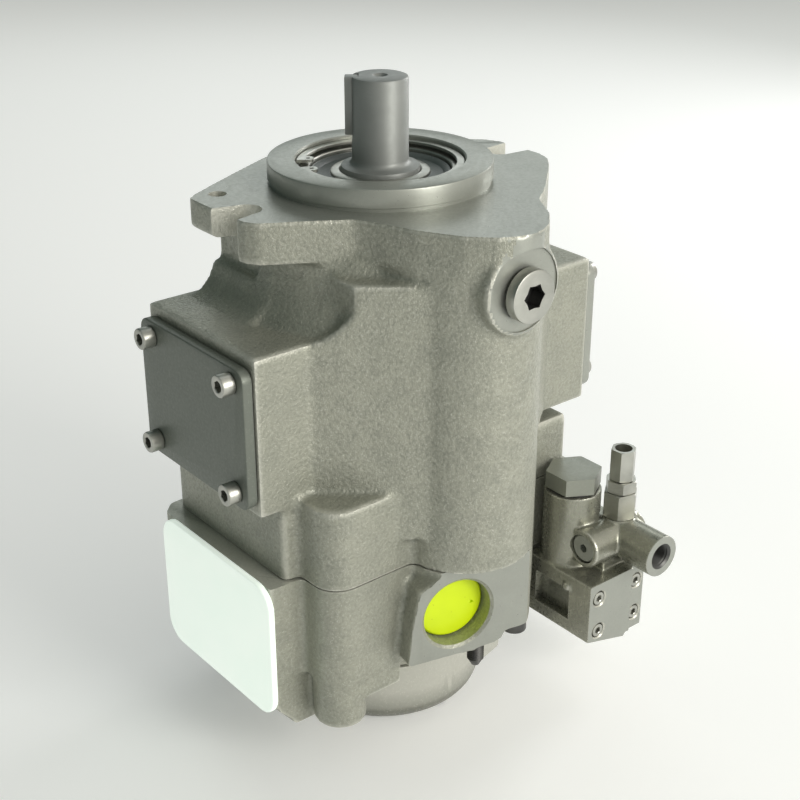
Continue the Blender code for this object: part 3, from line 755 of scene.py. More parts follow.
@dataclass
class HousingCasting:
    """Main casting: mounting flange, pilot, side boxes, cylinder bulge and scoops."""

    voxel: float = 1.9
    pilot_radius: float = 63.5
    pilot_top: float = 345.0
    face: float = 332.3
    ear_foot: float = 308.7
    slot_radius: float = 8.75
    slot_x: float = 90.5
    core_radius: float = 77.5
    drain_face: float = -119.0
    drain_z: float = 301.0
    spot_radius: float = 23.3
    box_x: float = 122.0
    flange: list[Point] = field(default_factory=lambda: [
        (-104, -9.75), (-103, -17), (-99, -24), (-80, -35), (-56, -50), (-52, -58), (-43, -83), (-30, -106),
        (-18, -118), (-8, -123), (0, -124.5), (8, -123), (18, -117.5), (31, -104), (43, -84), (58, -73),
        (80, -53), (96, -37), (102, -30), (105, -20), (105, 14), (101, 24), (88, 36), (84, 52), (66, 64),
        (40, 74), (0, 80), (-28, 76), (-60, 60), (-98, 40), (-103, 36), (-104, 28)])

    def rough(self) -> Piece:
        """Join the rough shapes and round them like a casting.

        Returns:
            The rough casting.
        """
        foot = SEAM[1] - 4.0
        panel = [(-68.4, -65.0), (-33.0, -94.3), (0.0, -94.3), (0.0, 0.0), (-68.4, 0.0)]
        side = [(-self.box_x, -50.0), (-88.0, -50.0), (-67.0, -66.5), (-40.0, -66.5), (-40.0, 56.0),
                (-self.box_x, 56.0)]
        low_left = [(-107.6, -48.6), (-97.6, -49.4)] + arc((-82.0, -63.0), 15.6, 180, 270, 8)
        low_left += [(-48.0, -78.6), (0.0, -78.6), (0.0, 59.4), (-107.6, 59.4)]
        ramp = [(-100.0, 264.0), (-100.0, 271.2), (-93.0, 274.5), (-87.0, 281.0), (-83.0, 290.0),
                (-80.5, 300.0), (-80.0, 309.0), (-60.0, 309.0), (-60.0, 264.0)]
        neck = [(0.0, 309.5), (79.5, 309.5), (80.5, 300.0), (83.0, 290.0), (86.5, 281.0), (91.0, 274.5),
                (93.0, 271.0), (93.0, 264.0), (0.0, 264.0)]
        shoulder = [(31.0, 262.0), (31.0, 291.0), (25.5, 289.5), (20.0, 283.5), (14.0, 277.5), (6.0, 272.5),
                    (-2.0, 270.5), (-6.0, 262.0)]
        along = Vector((21.0, -16.5, 0.0)).normalized()
        wedge = Matrix((along, (0.0, 0.0, 1.0), along.cross(Vector((0.0, 0.0, 1.0))))).transposed().to_4x4()
        wedge = Matrix.Translation((-0.088, -0.050, 0.0)) @ wedge
        drain = (0, 0, self.drain_z)
        web = [(-54.0, -51.5), (-50.5, -58.5), (-41.5, -83.0), (-28.0, -95.0), (0.0, -95.0), (0.0, -30.0),
               (-54.0, -30.0)]
        body = prism("housing_casting", joint_outline(108.0, 49.0), foot, 171.0)
        tools = [prism("t", low_left, foot + 1, 182.0), drum("t", self.core_radius, foot + 2, 311.0, sides=96),
                 drum("t", BULGE_R, foot + 3, self.face + 1, BULGE, 96),
                 drum("t", 30.0, foot + 4, 285.0, (0, 66)),
                 prism("t", panel, 152.0, 303.0), prism("t", mirrored(panel), 152.5, 303.4),
                 prism("t", side, 178.0, 271.0), prism("t", mirrored(side), 178.4, 271.4),
                 prism("t", ramp, -48.0, 10.0, XZ), prism("t", mirrored(ramp), -48.3, 10.3, XZ),
                 turned("t", neck, 96), prism("t", shoulder, -16.0, 0.0, wedge),
                 reflected(shoulder, -15.7, 0.3, wedge),
                 prism("t", web, 296.0, 320.0), prism("t", mirrored(web), 296.3, 320.3),
                 prism("t", self.flange, self.ear_foot, self.face + 1.0),
                 bore(Facing.FRONT, self.spot_radius + 2.3, 60.0, 0.6 - self.drain_face, drain, 64)]
        join(body, *tools)
        cut(body, brick("t", (-120, -78), (5.0, 60), (290, 315.8)))
        return cast(body, self.voxel, 5)

    def slot(self, sign: int) -> Piece:
        """Cutter of one flange slot, open and flared on the left.

        Args:
            sign: -1 for the left slot, 1 for the right one.

        Returns:
            The cutter.
        """
        mouth = [(125, -16), (125, 18), (104, 13)] if sign < 0 else [(125, -12), (125, 12)]
        outline = mouth + arc((self.slot_x, 0.0), self.slot_radius, 90, 270, 24)
        return prism("t", outline if sign > 0 else mirrored(outline), 296.0, 345.0)

    def machined(self, body: Piece) -> Piece:
        """Cut the machined faces, bores and holes and add the pilot.

        Args:
            body: rough casting.

        Returns:
            The same object.
        """
        r, top, face = self.pilot_radius, self.pilot_top, self.face
        wide = (-150, 150)
        cut(body, brick("t", wide, wide, (face, 360)), brick("t", wide, wide, (90, SEAM[1])),
            bore(Facing.FRONT, self.spot_radius, -self.drain_face - 0.6, 140.0, (0, 0, self.drain_z), 64))
        pilot = [(0, top), (r - 1.1, top), (r - 0.3, top - 0.35), (r, top - 1.1), (r, face + 2.4),
                 (r - 0.9, face + 1.9), (r - 0.9, face - 6), (0, face - 6)]
        join(body, turned("t", pilot, 160))
        inside = [(0, top + 5), (48.4, top + 5), (48.4, top - 0.01), (47.7, top - 0.7), (47.7, 341.0),
                  (45.6, 339.0), (45.6, 322.3), (40.01, 322.3), (40.01, 299.7), (34, 299.7), (34, 290),
                  (52, 290), (61, 280), (61, 120), (0, 120)]
        tools = [turned("t", inside, 128), self.slot(-1), self.slot(1),
                 brick("t", (-78, 78), (-30, 30), (196, 258)),
                 bore(Facing.LEFT, 24.01, 70, 130, TRUNNION), bore(Facing.RIGHT, 24.01, 70, 130, TRUNNION),
                 drum("t", 16.05, 120, 262, (0, -86), 48), brick("t", (-9, 9), (-86, -40), (240, 275)),
                 drum("t", 11.05, 120, 262, (0, 74), 40), brick("t", (-8, 8), (40, 74), (240, 275)),
                 bore(Facing.FRONT, 13.3, 88, 125, (0, 0, DRAIN_PLUG_Z)),
                 drum("t", 5.0, 296, 345, (-87.3, 32.5), 40),
                 brick("t", (-150, -self.box_x), (-60, 70), (172, 276)),
                 brick("t", (self.box_x, 150), (-60, 70), (172, 276))]
        for x, y in LEVERS:
            tools.append(drum("t", 6.2, 120, 157, (x, y), 24))
        tools.append(drum("t", 5.2, 120, 157, SMALL_BOLT, 24))
        for y, z in COVER_BOLTS:
            for way in (Facing.LEFT, Facing.RIGHT):
                tools.append(bore(way, 4.2, 100, 130, (0, y, z), 24))
        return cut(body, *tools)

    def build(self) -> None:
        """Build and dress the casting."""
        body = self.machined(self.rough())
        dress(body, ROUGH_CAST, MACHINED)
        paint_faces(body, 1, lambda c, n: c.z > self.face - 0.05 and (n.z > 0.5 or c.z > self.face + 0.05)
                    or (c.y < self.drain_face + 0.8 and n.y < -0.9))
        settle(body, Body.PUMP, (ROUGH_CAST, MACHINED), ["housing"])


@dataclass
class PortBlock:
    """Rear casting with the side ports, the plugged port boss and the bolt legs."""

    voxel: float = 1.8
    edge: float = 119.0
    port_heading: float = -103.3
    port_face: float = 102.6
    port_z: float = 102.2
    hole: float = 21.5
    stud: Point = (-8.0, -98.0)

    def port_pose(self) -> Matrix:
        """Axes of the plugged port: Z outwards, Y up."""
        angle = math.radians(self.port_heading)
        return upright((math.cos(angle), math.sin(angle), 0.0), (0.0, 0.0, self.port_z))

    def build(self) -> None:
        """Build and dress the casting."""
        side = [(-118.7, 126), (-118.7, 51), (-104, 33), (-58, 33), (-58, 126)]
        boss = [(-32, -28), (12, -28.5), (30, -26), (26, 24), (6, 29), (-10, 28), (-25, 20), (-29, 0)]
        foot = [(-82, -77.5), (-48, -77.5), (-40, -64), (50, -64), (58, -60), (66, 60), (-66, 60)]
        pose = self.port_pose()
        body = prism("port_block_casting", joint_outline(self.edge, 51.0), 69.0, SEAM[0] + 4)
        tools = [prism("t", foot, 54, 75), brick("t", (72, 126), (-50.8, -41), (43, 81)),
                 prism("t", side, -57, 50.4, XZ), prism("t", mirrored(side), -57.2, 40, XZ),
                 drum("t", BULGE_R, 82, SEAM[0] + 3, BULGE, 96), drum("t", 61.5, 42.3, 75, sides=96),
                 drum("t", 9.2, 42, 76, SMALL_BOLT, 32), prism("t", boss, 50, self.port_face + 0.9, pose)]
        tools += [drum("t", 15.3, 38, 76 + i * 0.3, spot, 48) for i, spot in enumerate(LEVERS)]
        join(body, *tools)
        cast(body, self.voxel, 4)
        ring = [(0, 125), (23.2, 125), (23.2, self.port_face - 0.01), (self.hole, self.port_face - 1.4),
                (self.hole, 88), (0, 88)]
        cuts = [brick("t", (-150, 150), (-150, 150), (SEAM[0], 160)),
                brick("t", (-150, -self.edge), (-48, 52), (30, SEAM[0] + 1)),
                brick("t", (self.edge, 150), (-40, 52), (82, 140)),
                prism("t", rounded(60, 50, 3), self.port_face, 140, pose), turned("t", ring, 96, pose),
                drum("t", 12, 60, 95, sides=32, place=pose), bore(Facing.LEFT, 25, 48, 130, SIDE_PORT),
                bore(Facing.RIGHT, 16, 48, 130, SIDE_PORT),
                turned("t", [(0, 140), (31.01, 140), (31.01, 105.7), (24, 105.7), (24, 30), (0, 30)], 64),
                drum("t", 62.6, 10, 42.3, sides=96), drum("t", 5.1, 60, 82, self.stud, 32),
                drum("t", 4, 118, 140, (0, -86), 16), brick("t", (70, 130), (-60, -50.8), (40, 84))]
        for x, y in LEVERS:
            cuts += [drum("t", 6.2, 10, 140, (x, y), 24), drum("t", 9.6, 10, 50, (x, y), 32)]
        cuts.append(drum("t", 5.2, 10, 140, SMALL_BOLT, 24))
        cut(body, *cuts)
        out = pose.to_3x3() @ Vector((0, 0, 1))
        dress(body, BLOCK_CAST, MACHINED)
        paint_faces(body, 1, lambda c, n: n.dot(out) > 0.99 and c.dot(out) > self.port_face - 0.1)
        settle(body, Body.PUMP, (BLOCK_CAST, MACHINED), ["port_block"])
        inset = 0.984
        gasket = prism("block_gasket", [(x * inset, y * inset) for x, y in joint_outline(107.0, 48.6)], *SEAM)
        clear_of_castings = Matrix.Translation((0, 0, 0.00002)) @ Matrix.Diagonal((1, 1, 0.9999, 1))
        gasket.data.transform(clear_of_castings)
        holes = [drum("t", 6.4, 120, 140, spot, 24) for spot in LEVERS]
        cut(gasket, drum("t", 61.0, 120, 140, sides=64), *holes, solver='EXACT')
        settle(gasket, Body.PUMP, (RUBBER,))


@dataclass
class RearCover:
    """Round rear cover with its raised pad and six sunk screws."""

    radius: float = 62.0
    height: float = 42.0
    screw_circle: float = 51.0

    def build(self) -> None:
        """Build and dress the cover and its screws."""
        r, h = self.radius, self.height
        edge = [(62, 12.0), (61.6, 9.0), (60.4, 6.2), (58.2, 3.2), (55.6, 1.0), (54.0, 0.0)]
        body = turned("rear_cover_casting", [(0, 6), (44, 6), (44, h), (r, h), *edge, (0, 0)], 128)
        pad = prism("t", rounded(9.0, 11.5, 2.5, 4), 40, r + 1.3, upright((0.245, -0.97, 0), (30.5, 7.5, 31)))
        join(body, pad)
        tools = [drum("t", 6.0, -5, 9.5, spot, 32) for spot in around(6, self.screw_circle, 33.0)]
        tools += [drum("t", 3.4, -5, 50, spot, 16) for spot in around(6, self.screw_circle, 33.0)]
        cut(body, *tools, drum("t", 43.9, 6.2, 60, sides=96))
        settle(body, Body.PUMP, (COVER_CAST,), ["rear_cover"])
        maker = SocketScrew("rear_cover_screw", 5.0, 6.0, 3.0, 28.0, 2.5)
        for number, (x, y) in enumerate(around(6, self.screw_circle, 33.0), 1):
            maker.place(str(number), facing(Facing.DOWN.value, (x, y, 9.4)), DARK_STEEL_AND_RECESS_SHADE)
        maker.done()


@dataclass
class SocketScrew:
    """Hexagon socket cap screw, modelled once and copied."""

    name: str
    head_radius: float
    head: float
    shank_radius: float
    length: float
    socket: float
    pattern: Optional[Piece] = None

    def model(self) -> Piece:
        """Build the pattern screw with its Z out of the head.

        Returns:
            The pattern.
        """
        r, h, k = self.head_radius, self.head, self.socket
        body = turned(self.name + "_pattern", [
            (0, h), (r - 0.9, h), (r - 0.25, h - 0.25), (r, h - 0.9), (r, 0.25), (r - 0.25, 0),
            (self.shank_radius, 0), (self.shank_radius, -self.length), (0, -self.length)], 48)
        mouth = [(0, h + 1), (k * 1.25 + 1.0, h + 1), (k * 1.25, h), (k * 0.9, h - 0.6), (0, h - 0.6)]
        cone = turned("t", mouth, 48)
        cut(body, drum("t", k * 1.155, h * 0.3, h + 1, sides=6), cone, solver='EXACT')
        return body

    def place(self, number: str, pose: Matrix, finish: Finish, replaces: Sequence[str] = ()) -> Piece:
        """Copy the screw to a pose.

        Args:
            number: ending of the copy's name.
            pose: matrix whose Z runs out of the head, with its origin on the seat.
            finish: finish of the copy.
            replaces: nodes that the copy stands for.

        Returns:
            The copy.
        """
        if self.pattern is None:
            self.pattern = self.model()
        activate(self.pattern)
        bpy.ops.object.duplicate()
        copy = bpy.context.object
        copy.name = f"{self.name}_{number}"
        copy.data.transform(pose)
        return settle(copy, Body.PUMP, (finish,), replaces)

    def done(self) -> None:
        """Delete the pattern."""
        if self.pattern is not None:
            bpy.data.objects.remove(self.pattern, do_unlink=True)
            self.pattern = None


@dataclass
class TrunnionCovers:
    """Side cover plates of the trunnion bearings with four screws each."""

    face: float = 122.3
    thickness: float = 6.5
    half_width: float = 51.5
    half_height: float = 41.0
    corner: float = 7.0
    spigot: float = 23.6

    def build(self) -> None:
        """Build both covers, their gaskets and screws."""
        screw = SocketScrew("trunnion_screw", 6.2, 7.5, 3.5, 20.0, 3.0)
        # the left plate gets the darker copy as painted shade, the right plate the lit machined-face paint
        for tag, way, paint in (("left", Facing.LEFT, SHADED_PLATE_PAINT), ("right", Facing.RIGHT, MACHINED)):
            pose = upright(way.value, (0, 3, 224))
            lid = prism(f"{tag}_side_plate", rounded(self.half_width, self.half_height, self.corner),
                        self.face + 0.25, self.face + self.thickness, pose)
            bevelled(lid, 0.7, 3, 60)
            join(lid, bore(way, self.spigot, 116, self.face + 2, TRUNNION, 64))
            cut(lid, *[bore(way, 4.3, 110, 140, (0, y, z), 24) for y, z in COVER_BOLTS])
            settle(lid, Body.PUMP, (paint,), [f"{tag}_trunnion_cover"])
            outline = rounded(self.half_width - 0.8, self.half_height - 0.8, self.corner)
            seal = prism(f"{tag}_side_gasket", outline, self.face - 0.25, self.face + 0.2, pose)
            cut(seal, bore(way, 25, 110, 140, TRUNNION), solver='EXACT')
            settle(seal, Body.PUMP, (RUBBER,))
            for number, (y, z) in enumerate(COVER_BOLTS, 1):
                seat = facing(way.value, (way.value[0] * (self.face + self.thickness + 0.3), y, z))
                nodes = [f"left_cover_screw_{number}"] if tag == "left" else []
                screw.place(f"{tag}_{number}", seat, SCREW_STEEL, nodes)
        screw.done()


@dataclass
class ShippingCovers:
    """Moulded plastic covers over the side ports, and the plug in the rear port."""

    inner: float = 119.3
    outer: float = 123.0

    def cover(self, tag: str, way: Facing, half: Triple, spigot: float) -> None:
        """Build one port cover.

        Args:
            tag: port name.
            way: side it is on.
            half: half width, half height and corner radius.
            spigot: radius of the spigot in the port.
        """
        pose = upright(way.value, (0, 2, 90.5))
        lid = prism(f"{tag}_cover_moulding", rounded(*half, 10), self.inner, self.outer, pose)
        bevelled(lid, 0.9, 3, 60)
        join(lid, bore(way, spigot, 112, 121, SIDE_PORT, 64))
        settle(lid, Body.PUMP, (WHITE,), [f"{tag}_port_cover"])

    def build(self, block: PortBlock) -> None:
        """Build the covers and the plug.

        Args:
            block: casting whose rear port the plug fills.
        """
        self.cover("suction", Facing.LEFT, (57, 43, 14), 24.3)
        self.cover("pressure", Facing.RIGHT, (38, 37, 12), 15.3)
        pose = block.port_pose()
        plug = turned("rear_port_plug", [
            (0, 91.9), (9, 92.0), (17.5, 92.4), (19.6, 92.2), (20.6, 91.4), (21, 90.4),
            (21, 88.2), (0, 88.2)], 96, pose)
        nick = prism("t", [(12.6, -2.6), (15.4, -2.0), (13.2, 0.2)], 90.8, 99, pose)
        cut(plug, nick, solver='EXACT')
        settle(plug, Body.PUMP, (YELLOW,), ["port_shipping_plug"])


@dataclass
class DrainPlug:
    """Case drain plug with its sealing ring."""

    collar: float = 14.6
    face: float = 120.8
    socket: float = 7.4

    def build(self) -> None:
        """Build and dress the plug and the ring."""
        pose = facing(Facing.FRONT.value, (0, 0, DRAIN_PLUG_Z))
        f, r = self.face, self.collar
        plug = turned("case_drain_plug", [
            (0, f + 6), (r - 1.2, f + 6), (r - 0.3, f + 5.7), (r, f + 4.8), (r, f),
            (13, f), (13, f - 14), (0, f - 14)], 96, pose)
        points = around(12, self.socket, 0.0)
        star = [(x * (1.0, 0.8)[i % 2], y * (1.0, 0.8)[i % 2]) for i, (x, y) in enumerate(points)]
        cut(plug, prism("t", star, f - 3, f + 8, pose), solver='EXACT')
        # the faces inside the star socket get the dark steel as painted shade
        dress(plug, SCREW_STEEL, DARK_STEEL_AND_RECESS_SHADE)
        paint_faces(plug, 1, lambda c, n: math.hypot(c.x, c.z - DRAIN_PLUG_Z) < self.socket + 0.1
                    and c.y > -f - 5.8)
        settle(plug, Body.PUMP, (SCREW_STEEL, DARK_STEEL_AND_RECESS_SHADE), ["drain_plug"])
        ring = turned("drain_sealing_ring", [
            (r - 1.2, f - 0.15), (r - 0.4, f - 0.8), (r - 1.2, 119.15), (13.4, 119.15),
            (13.4, f - 0.15)], 64, pose)
        settle(ring, Body.PUMP, (RUBBER,))


@dataclass
class ClampStud:
    """Threaded stud that stands out under the bulge."""

    radius: float = 5.0
    pitch: float = 1.5
    top: float = 81.5
    foot: float = 60.0

    def build(self) -> None:
        """Build and dress the stud."""
        r = self.radius
        profile = [(0.0, self.top), (r, self.top), (r, 80.0)]
        z = 79.5
        while z > self.foot + 3.5:
            profile += [(r, z), (r - 0.8, z - self.pitch * 0.5)]
            z -= self.pitch
        profile += [(r - 1.0, z), (2.4, self.foot), (0.0, self.foot)]
        stud = turned("threaded_stud", profile, 48)
        stud.data.transform(Matrix.Translation((-8 * MM, -98 * MM, 0)))
        settle(stud, Body.PUMP, (DARK_STEEL_AND_RECESS_SHADE,), ["clamp_stud"])


@dataclass
class DriveShaft:
    """Keyed drive shaft with its centre hole, and the key."""

    radius: float = 15.875
    journal: float = 22.5
    top: float = 390.4
    key_angle: float = 141.0
    key_foot: float = 358.0

    def build(self) -> None:
        """Build and dress the shaft and its key."""
        r, j, t = self.radius, self.journal, self.top
        profile = [(0, t - 7), (2.1, t - 5.5), (2.1, t - 2.2), (4.4, t), (r - 1.9, t), (r - 0.5, t - 0.5),
                   (r, t - 1.6), (r, 344.5), (r + 0.5, 342.8), (r + 1.8, 341.4), (j - 2.2, 341),
                   (j - 0.5, 340.4), (j, 339), (j, 322.2), (20, 322.2), (20, 299), (19, 298), (19, 216),
                   (17.5, 215), (17.5, 141), (15, 140), (15, 84), (14, 83), (0, 83)]
        shaft = turned("drive_shaft_turned", profile, 128)
        turn = Matrix.Rotation(math.radians(self.key_angle), 4, 'Z')
        way = brick("t", (11.6, 20), (-4.0, 4.0), (self.key_foot - 1, 395), turn)
        end = turn @ facing((1, 0, 0), (0, 0, self.key_foot - 1))
        cut(shaft, way, drum("t", 4.0, 11.6, 20, sides=32, place=end), solver='EXACT')
        settle(shaft, Body.ROTATING, (SHAFT_STEEL,), ["drive_shaft"], 40)
        key = brick("shaft_key_bar", (11.9, 19.4), (-3.92, 3.92), (self.key_foot, 389.9), turn)
        bevelled(key, 0.45, 2, 60)
        settle(key, Body.ROTATING, (SHAFT_STEEL,), ["shaft_key"])


@dataclass
class FrontSeal:
    """Shaft seal, its carrier and the retaining ring in the pilot bore."""

    ring_angle: float = 150.0
    lug_spread: float = 10.2

    def build(self) -> None:
        """Build and dress the three pieces."""
        carrier = turned("seal_carrier_ring", [
            (45.3, 339.3), (45.3, 322.6), (36, 322.6), (36, 325), (40, 325),
            (40, 339.0), (40.6, 339.6), (45.0, 339.6)], 96)
        settle(carrier, Body.PUMP, (SCREW_STEEL,), ["seal_carrier"])
        seal = turned("shaft_seal_rubber", [
            (39.7, 337.0), (39.7, 325.3), (22.56, 325.3), (22.56, 333.5), (24, 335.4),
            (28.6, 336.2), (29.2, 336.0), (31, 335.6), (35.5, 335.6), (36.4, 336.6),
            (38, 337.6), (39.2, 337.6)], 96)
        settle(seal, Body.PUMP, (SEAL_FACE,), ["shaft_seal"])
        lip = turned("seal_case_ring", [
            (28.2, 336.6), (28.2, 335.6), (22.8, 335.6), (22.8, 337.6), (23.4, 338.2),
            (27.0, 338.0), (27.9, 337.5)], 96)
        settle(lip, Body.PUMP, (SCREW_STEEL,))
        turn = Matrix.Rotation(math.radians(self.ring_angle), 4, 'Z')
        ring = turned("bore_retaining_ring", [
            (47.2, 342.5), (47.2, 341.3), (46.9, 341.1), (43.1, 341.1), (42.8, 341.3),
            (42.8, 342.5), (43.1, 342.8), (46.9, 342.8)], 96)
        cut(ring, brick("t", (38, 50), (-7, 7), (335, 345), turn), solver='EXACT')
        for side in (-1, 1):
            across = side * self.lug_spread
            outline = [(x + 41.0, y + across) for x, y in rounded(4.6, 3.6, 2.6, 5)]
            join(ring, prism("t", outline, 341.15, 342.75, turn), solver='EXACT')
            cut(ring, drum("t", 1.3, 335, 345, (39.6, across), 20, turn), solver='EXACT')
        settle(ring, Body.PUMP, (SCREW_STEEL,), ["seal_retaining_ring"])


@dataclass
class CompensatorValve:
    """Pressure compensator: cast body, plugs, screws and pressure adjuster."""

    spool: Point = (97.0, -70.0)
    adjuster: Point = (118.0, -91.0)
    arm_z: float = 100.0
    port: Point = (117.6, 99.2)
    screws: tuple[Point, ...] = ((86.4, 71.0), (87.2, 47.0), (121.3, 70.0), (121.3, 46.0))

    def body(self) -> None:
        """Build and dress the valve body."""
        port = facing(Facing.FRONT.value, (self.port[0], 0, self.port[1]))
        arm = facing(Facing.RIGHT.value, (0, -92, self.arm_z))
        base = [(121, -51.3), (128.2, -58), (128.2, -107.2), (117, -107.2), (115, -108.8), (78, -108.8),
                (78, -51.3)]
        slope = [(70, 20), (135, 20), (135, 34.8), (113, 34.8), (111, 32.6), (78, 41.4), (70, 41.4)]
        body = prism("valve_body_casting", base, 30.5, 82)
        join(body, drum("t", 18, 74, 131.6, self.spool, 64), drum("t", 12.5, 85.2, 131, sides=64, place=arm),
             brick("t", (97.3, 124), (-99.2, -62.3), (80.3, 108)),
             drum("t", 13.5, 80, 128.8, sides=64, place=port), drum("t", 10.5, 95, 113.6, self.adjuster, 48),
             bore(Facing.LEFT, 2.8, -2.2, 2.2, (78, -88, 74), 24))
        cast(body, 0.85, 5)
        thread = [(0, 140), (8.6, 140), (8.6, 128.0), (7.0, 126.6)]
        depth = 126.6
        while depth > 114.0:
            thread += [(7.9, depth - 0.7), (6.5, depth - 1.5)]
            depth -= 1.5
        thread += [(6.6, 112.0), (0, 110.0)]
        cuts = [brick("t", (70, 135), (-120, -108), (20, 84.5)),
                brick("t", (116.4, 135), (-110, -106.5), (20, 84.5)),
                brick("t", (128, 135), (-110, -45), (20, 84)),
                prism("t", slope, -40, 120, XZ), brick("t", (60, 84), (-90, -60), (50, 72)),
                drum("t", 22, 131, 140, self.spool, 48), drum("t", 14, 113, 116, self.adjuster, 32),
                drum("t", 20, 128, 135, sides=32, place=port),
                drum("t", 6.05, 50, 112, self.spool, 32), drum("t", 11, 108, 140, self.spool, 48),
                drum("t", 5.55, 96, 120, self.adjuster, 32), drum("t", 7.6, 106, 120, self.adjuster, 32),
                drum("t", 6.2, 80, 108, sides=32, place=arm), drum("t", 9.6, 80, 90, sides=48, place=arm),
                turned("t", thread, 64, port)]
        for x, z in self.screws:
            face = 108.0 if x < 110 else 106.5
            seat = facing(Facing.FRONT.value, (x, 0, z))
            counter = [(0, face + 3), (5.9, face + 3), (5.9, face), (5.1, face - 0.8), (5.1, face - 5.5),
                       (0, face - 5.5)]
            cuts += [drum("t", 2.75, 40, 115, sides=24, place=seat), turned("t", counter, 48, seat)]
        cut(body, *cuts)
        dress(body, FINE_CAST, MACHINED, DARK_STEEL_AND_RECESS_SHADE)
        paint_faces(body, 1, lambda c, n: n.y < -0.99 and c.y < -106.4)
        # the faces inside the threaded port get the dark steel as painted shade
        paint_faces(body, 2, lambda c, n: n.y > -0.95 and c.y < -108.5
                    and math.hypot(c.x - self.port[0], c.z - self.port[1]) < 8.2)
        settle(body, Body.PUMP, (FINE_CAST, MACHINED, DARK_STEEL_AND_RECESS_SHADE), ["compensator_body"])

    def screws_and_plugs(self) -> None:
        """Build the four screws, the hex plug and the side plug."""
        screw = SocketScrew("valve_screw", 4.5, 5.0, 2.4, 54.0, 2.0)
        for number, (x, z) in enumerate(self.screws, 1):
            face = -108.0 if x < 110 else -106.5
            screw.place(str(number), facing(Facing.FRONT.value, (x, face + 5.2, z)), SCREW_STEEL,
                        [f"compensator_screw_{number}"])
        screw.done()
        x, y = self.spool
        plug = drum("valve_hex_plug", 17.9, 132.4, 143.5, self.spool, 6)
        rim = turned("t", [(30, 150), (30, 141.2), (17.2, 143.5), (16.6, 143.6), (16.6, 150)], 96)
        rim.data.transform(Matrix.Translation((x * MM, y * MM, 0)))
        cut(plug, rim, solver='EXACT')
        join(plug, drum("t", 10.9, 124, 133, self.spool, 48), solver='EXACT')
        settle(plug, Body.PUMP, (PLUG_PAINT,), ["compensator_hex_plug"])
        ring = turned("hex_plug_seal", [
            (15.4, 132.2), (15.8, 131.7), (15.4, 131.2), (11.4, 131.2), (11.4, 132.2)], 64)
        ring.data.transform(Matrix.Translation((x * MM, y * MM, 0)))
        settle(ring, Body.PUMP, (RUBBER,))
        pose = facing(Facing.LEFT.value, (0, -92, self.arm_z))
        side = turned("valve_side_plug", [
            (0, -86.2), (8.2, -86.2), (9.0, -86.8), (9.2, -87.6), (9.2, -89.7), (6.1, -89.7),
            (6.1, -100), (0, -100)], 64, pose)
        cut(side, drum("t", 3.0, -91, -84, sides=6, place=pose), solver='EXACT')
        settle(side, Body.PUMP, (MACHINED,), ["compensator_side_plug"])

    def hexagon(self, name: str, radius: float, low: float, high: float, shank: Triple, hole: Triple,
                body: Body, node: str, turn: float = 0.0) -> None:
        """Build one chamfered hexagon piece of the adjuster stack.

        Args:
            name: name of the piece.
            radius: radius across the corners.
            low: foot of the hexagon.
            high: top of the hexagon.
            shank: radius and heights of the round part below it.
            hole: radius and heights of the hole in it.
            body: body that it rides on.
            node: node that it replaces.
            turn: turn of the hexagon, in degrees.
        """
        place = Matrix.Translation((self.adjuster[0] * MM, self.adjuster[1] * MM, 0))
        spin = place @ Matrix.Rotation(math.radians(turn), 4, 'Z')
        piece = drum(name, radius, low, high, sides=6, place=spin)
        flat = radius * 0.9
        for out, z in ((1, high), (-1, low)):
            corner = [(radius + 4, z + out * 4), (radius + 4, z - out * (radius * 0.10 + 2.4)),
                      (flat, z + out * 0.02), (flat, z + out * 4)]
            cut(piece, turned("t", corner, 64, place), solver='EXACT')
        if shank[0] > 0:
            join(piece, drum("t", *shank, sides=32, place=place), solver='EXACT')
        cut(piece, drum("t", *hole, sides=32, place=place), solver='EXACT')
        settle(piece, body, (SCREW_STEEL,), [node])

    def build(self) -> None:
        """Build the whole valve."""
        self.body()
        self.screws_and_plugs()
        self.hexagon("adjuster_sleeve_hex", 11.2, 113.3, 130.6, (7.5, 106.3, 115.0), (4.15, 100, 135),
                     Body.PUMP, "adjuster_sleeve", 8.0)
        self.hexagon("adjuster_nut_hex", 10.1, 130.8, 138.6, (0, 0, 0), (4.3, 125, 145), Body.PUMP,
                     "adjuster_lock_nut", 20.0)
        self.hexagon("adjuster_screw_hex", 8.2, 138.9, 159.5, (4.0, 112.0, 141.0), (5.4, 150, 165),
                     Body.ADJUSTER, "adjusting_screw", 4.0)


@dataclass
class HousingBolts:
    """Bolts that hold the port block to the housing, with heads under the block's legs."""

    seat: float = 49.6

    def build(self) -> None:
        """Build and place the four bolts."""
        large = SocketScrew("housing_bolt", 8.6, 10.5, 5.6, 98.0, 4.0)
        for number, (x, y) in enumerate(LEVERS, 1):
            large.place(str(number), facing(Facing.DOWN.value, (x, y, self.seat)), DARK_STEEL_AND_RECESS_SHADE)
        large.done()
        small = SocketScrew("small_housing_bolt", 8.0, 9.0, 4.8, 106.0, 3.5)
        small.place("1", facing(Facing.DOWN.value, (*SMALL_BOLT, 41.7)), DARK_STEEL_AND_RECESS_SHADE)
        small.done()


@dataclass
class InnerParts:
    """Pieces inside the pump that keep the shape of their solids."""

    finishes: dict[str, Finish] = field(default_factory=lambda: {
        "bright_steel": PLAIN_STEEL, "dark_steel": DARK_STEEL_AND_RECESS_SHADE, "bronze": BRONZE, "rubber": RUBBER,
        "grey_paint": ROUGH_CAST, "yellow_plastic": YELLOW, "white_plastic": WHITE})

    def build(self) -> None:
        """Give every node of the solids a procedural finish."""
        slots = {part["node"]: part["material_slot"] for part in frame["record"]["subparts"]}
        for name, node in frame["nodes"].items():
            dress(node, self.finishes[slots[name]])
            log.info("%s: node dressed as %s", name, slots[name])


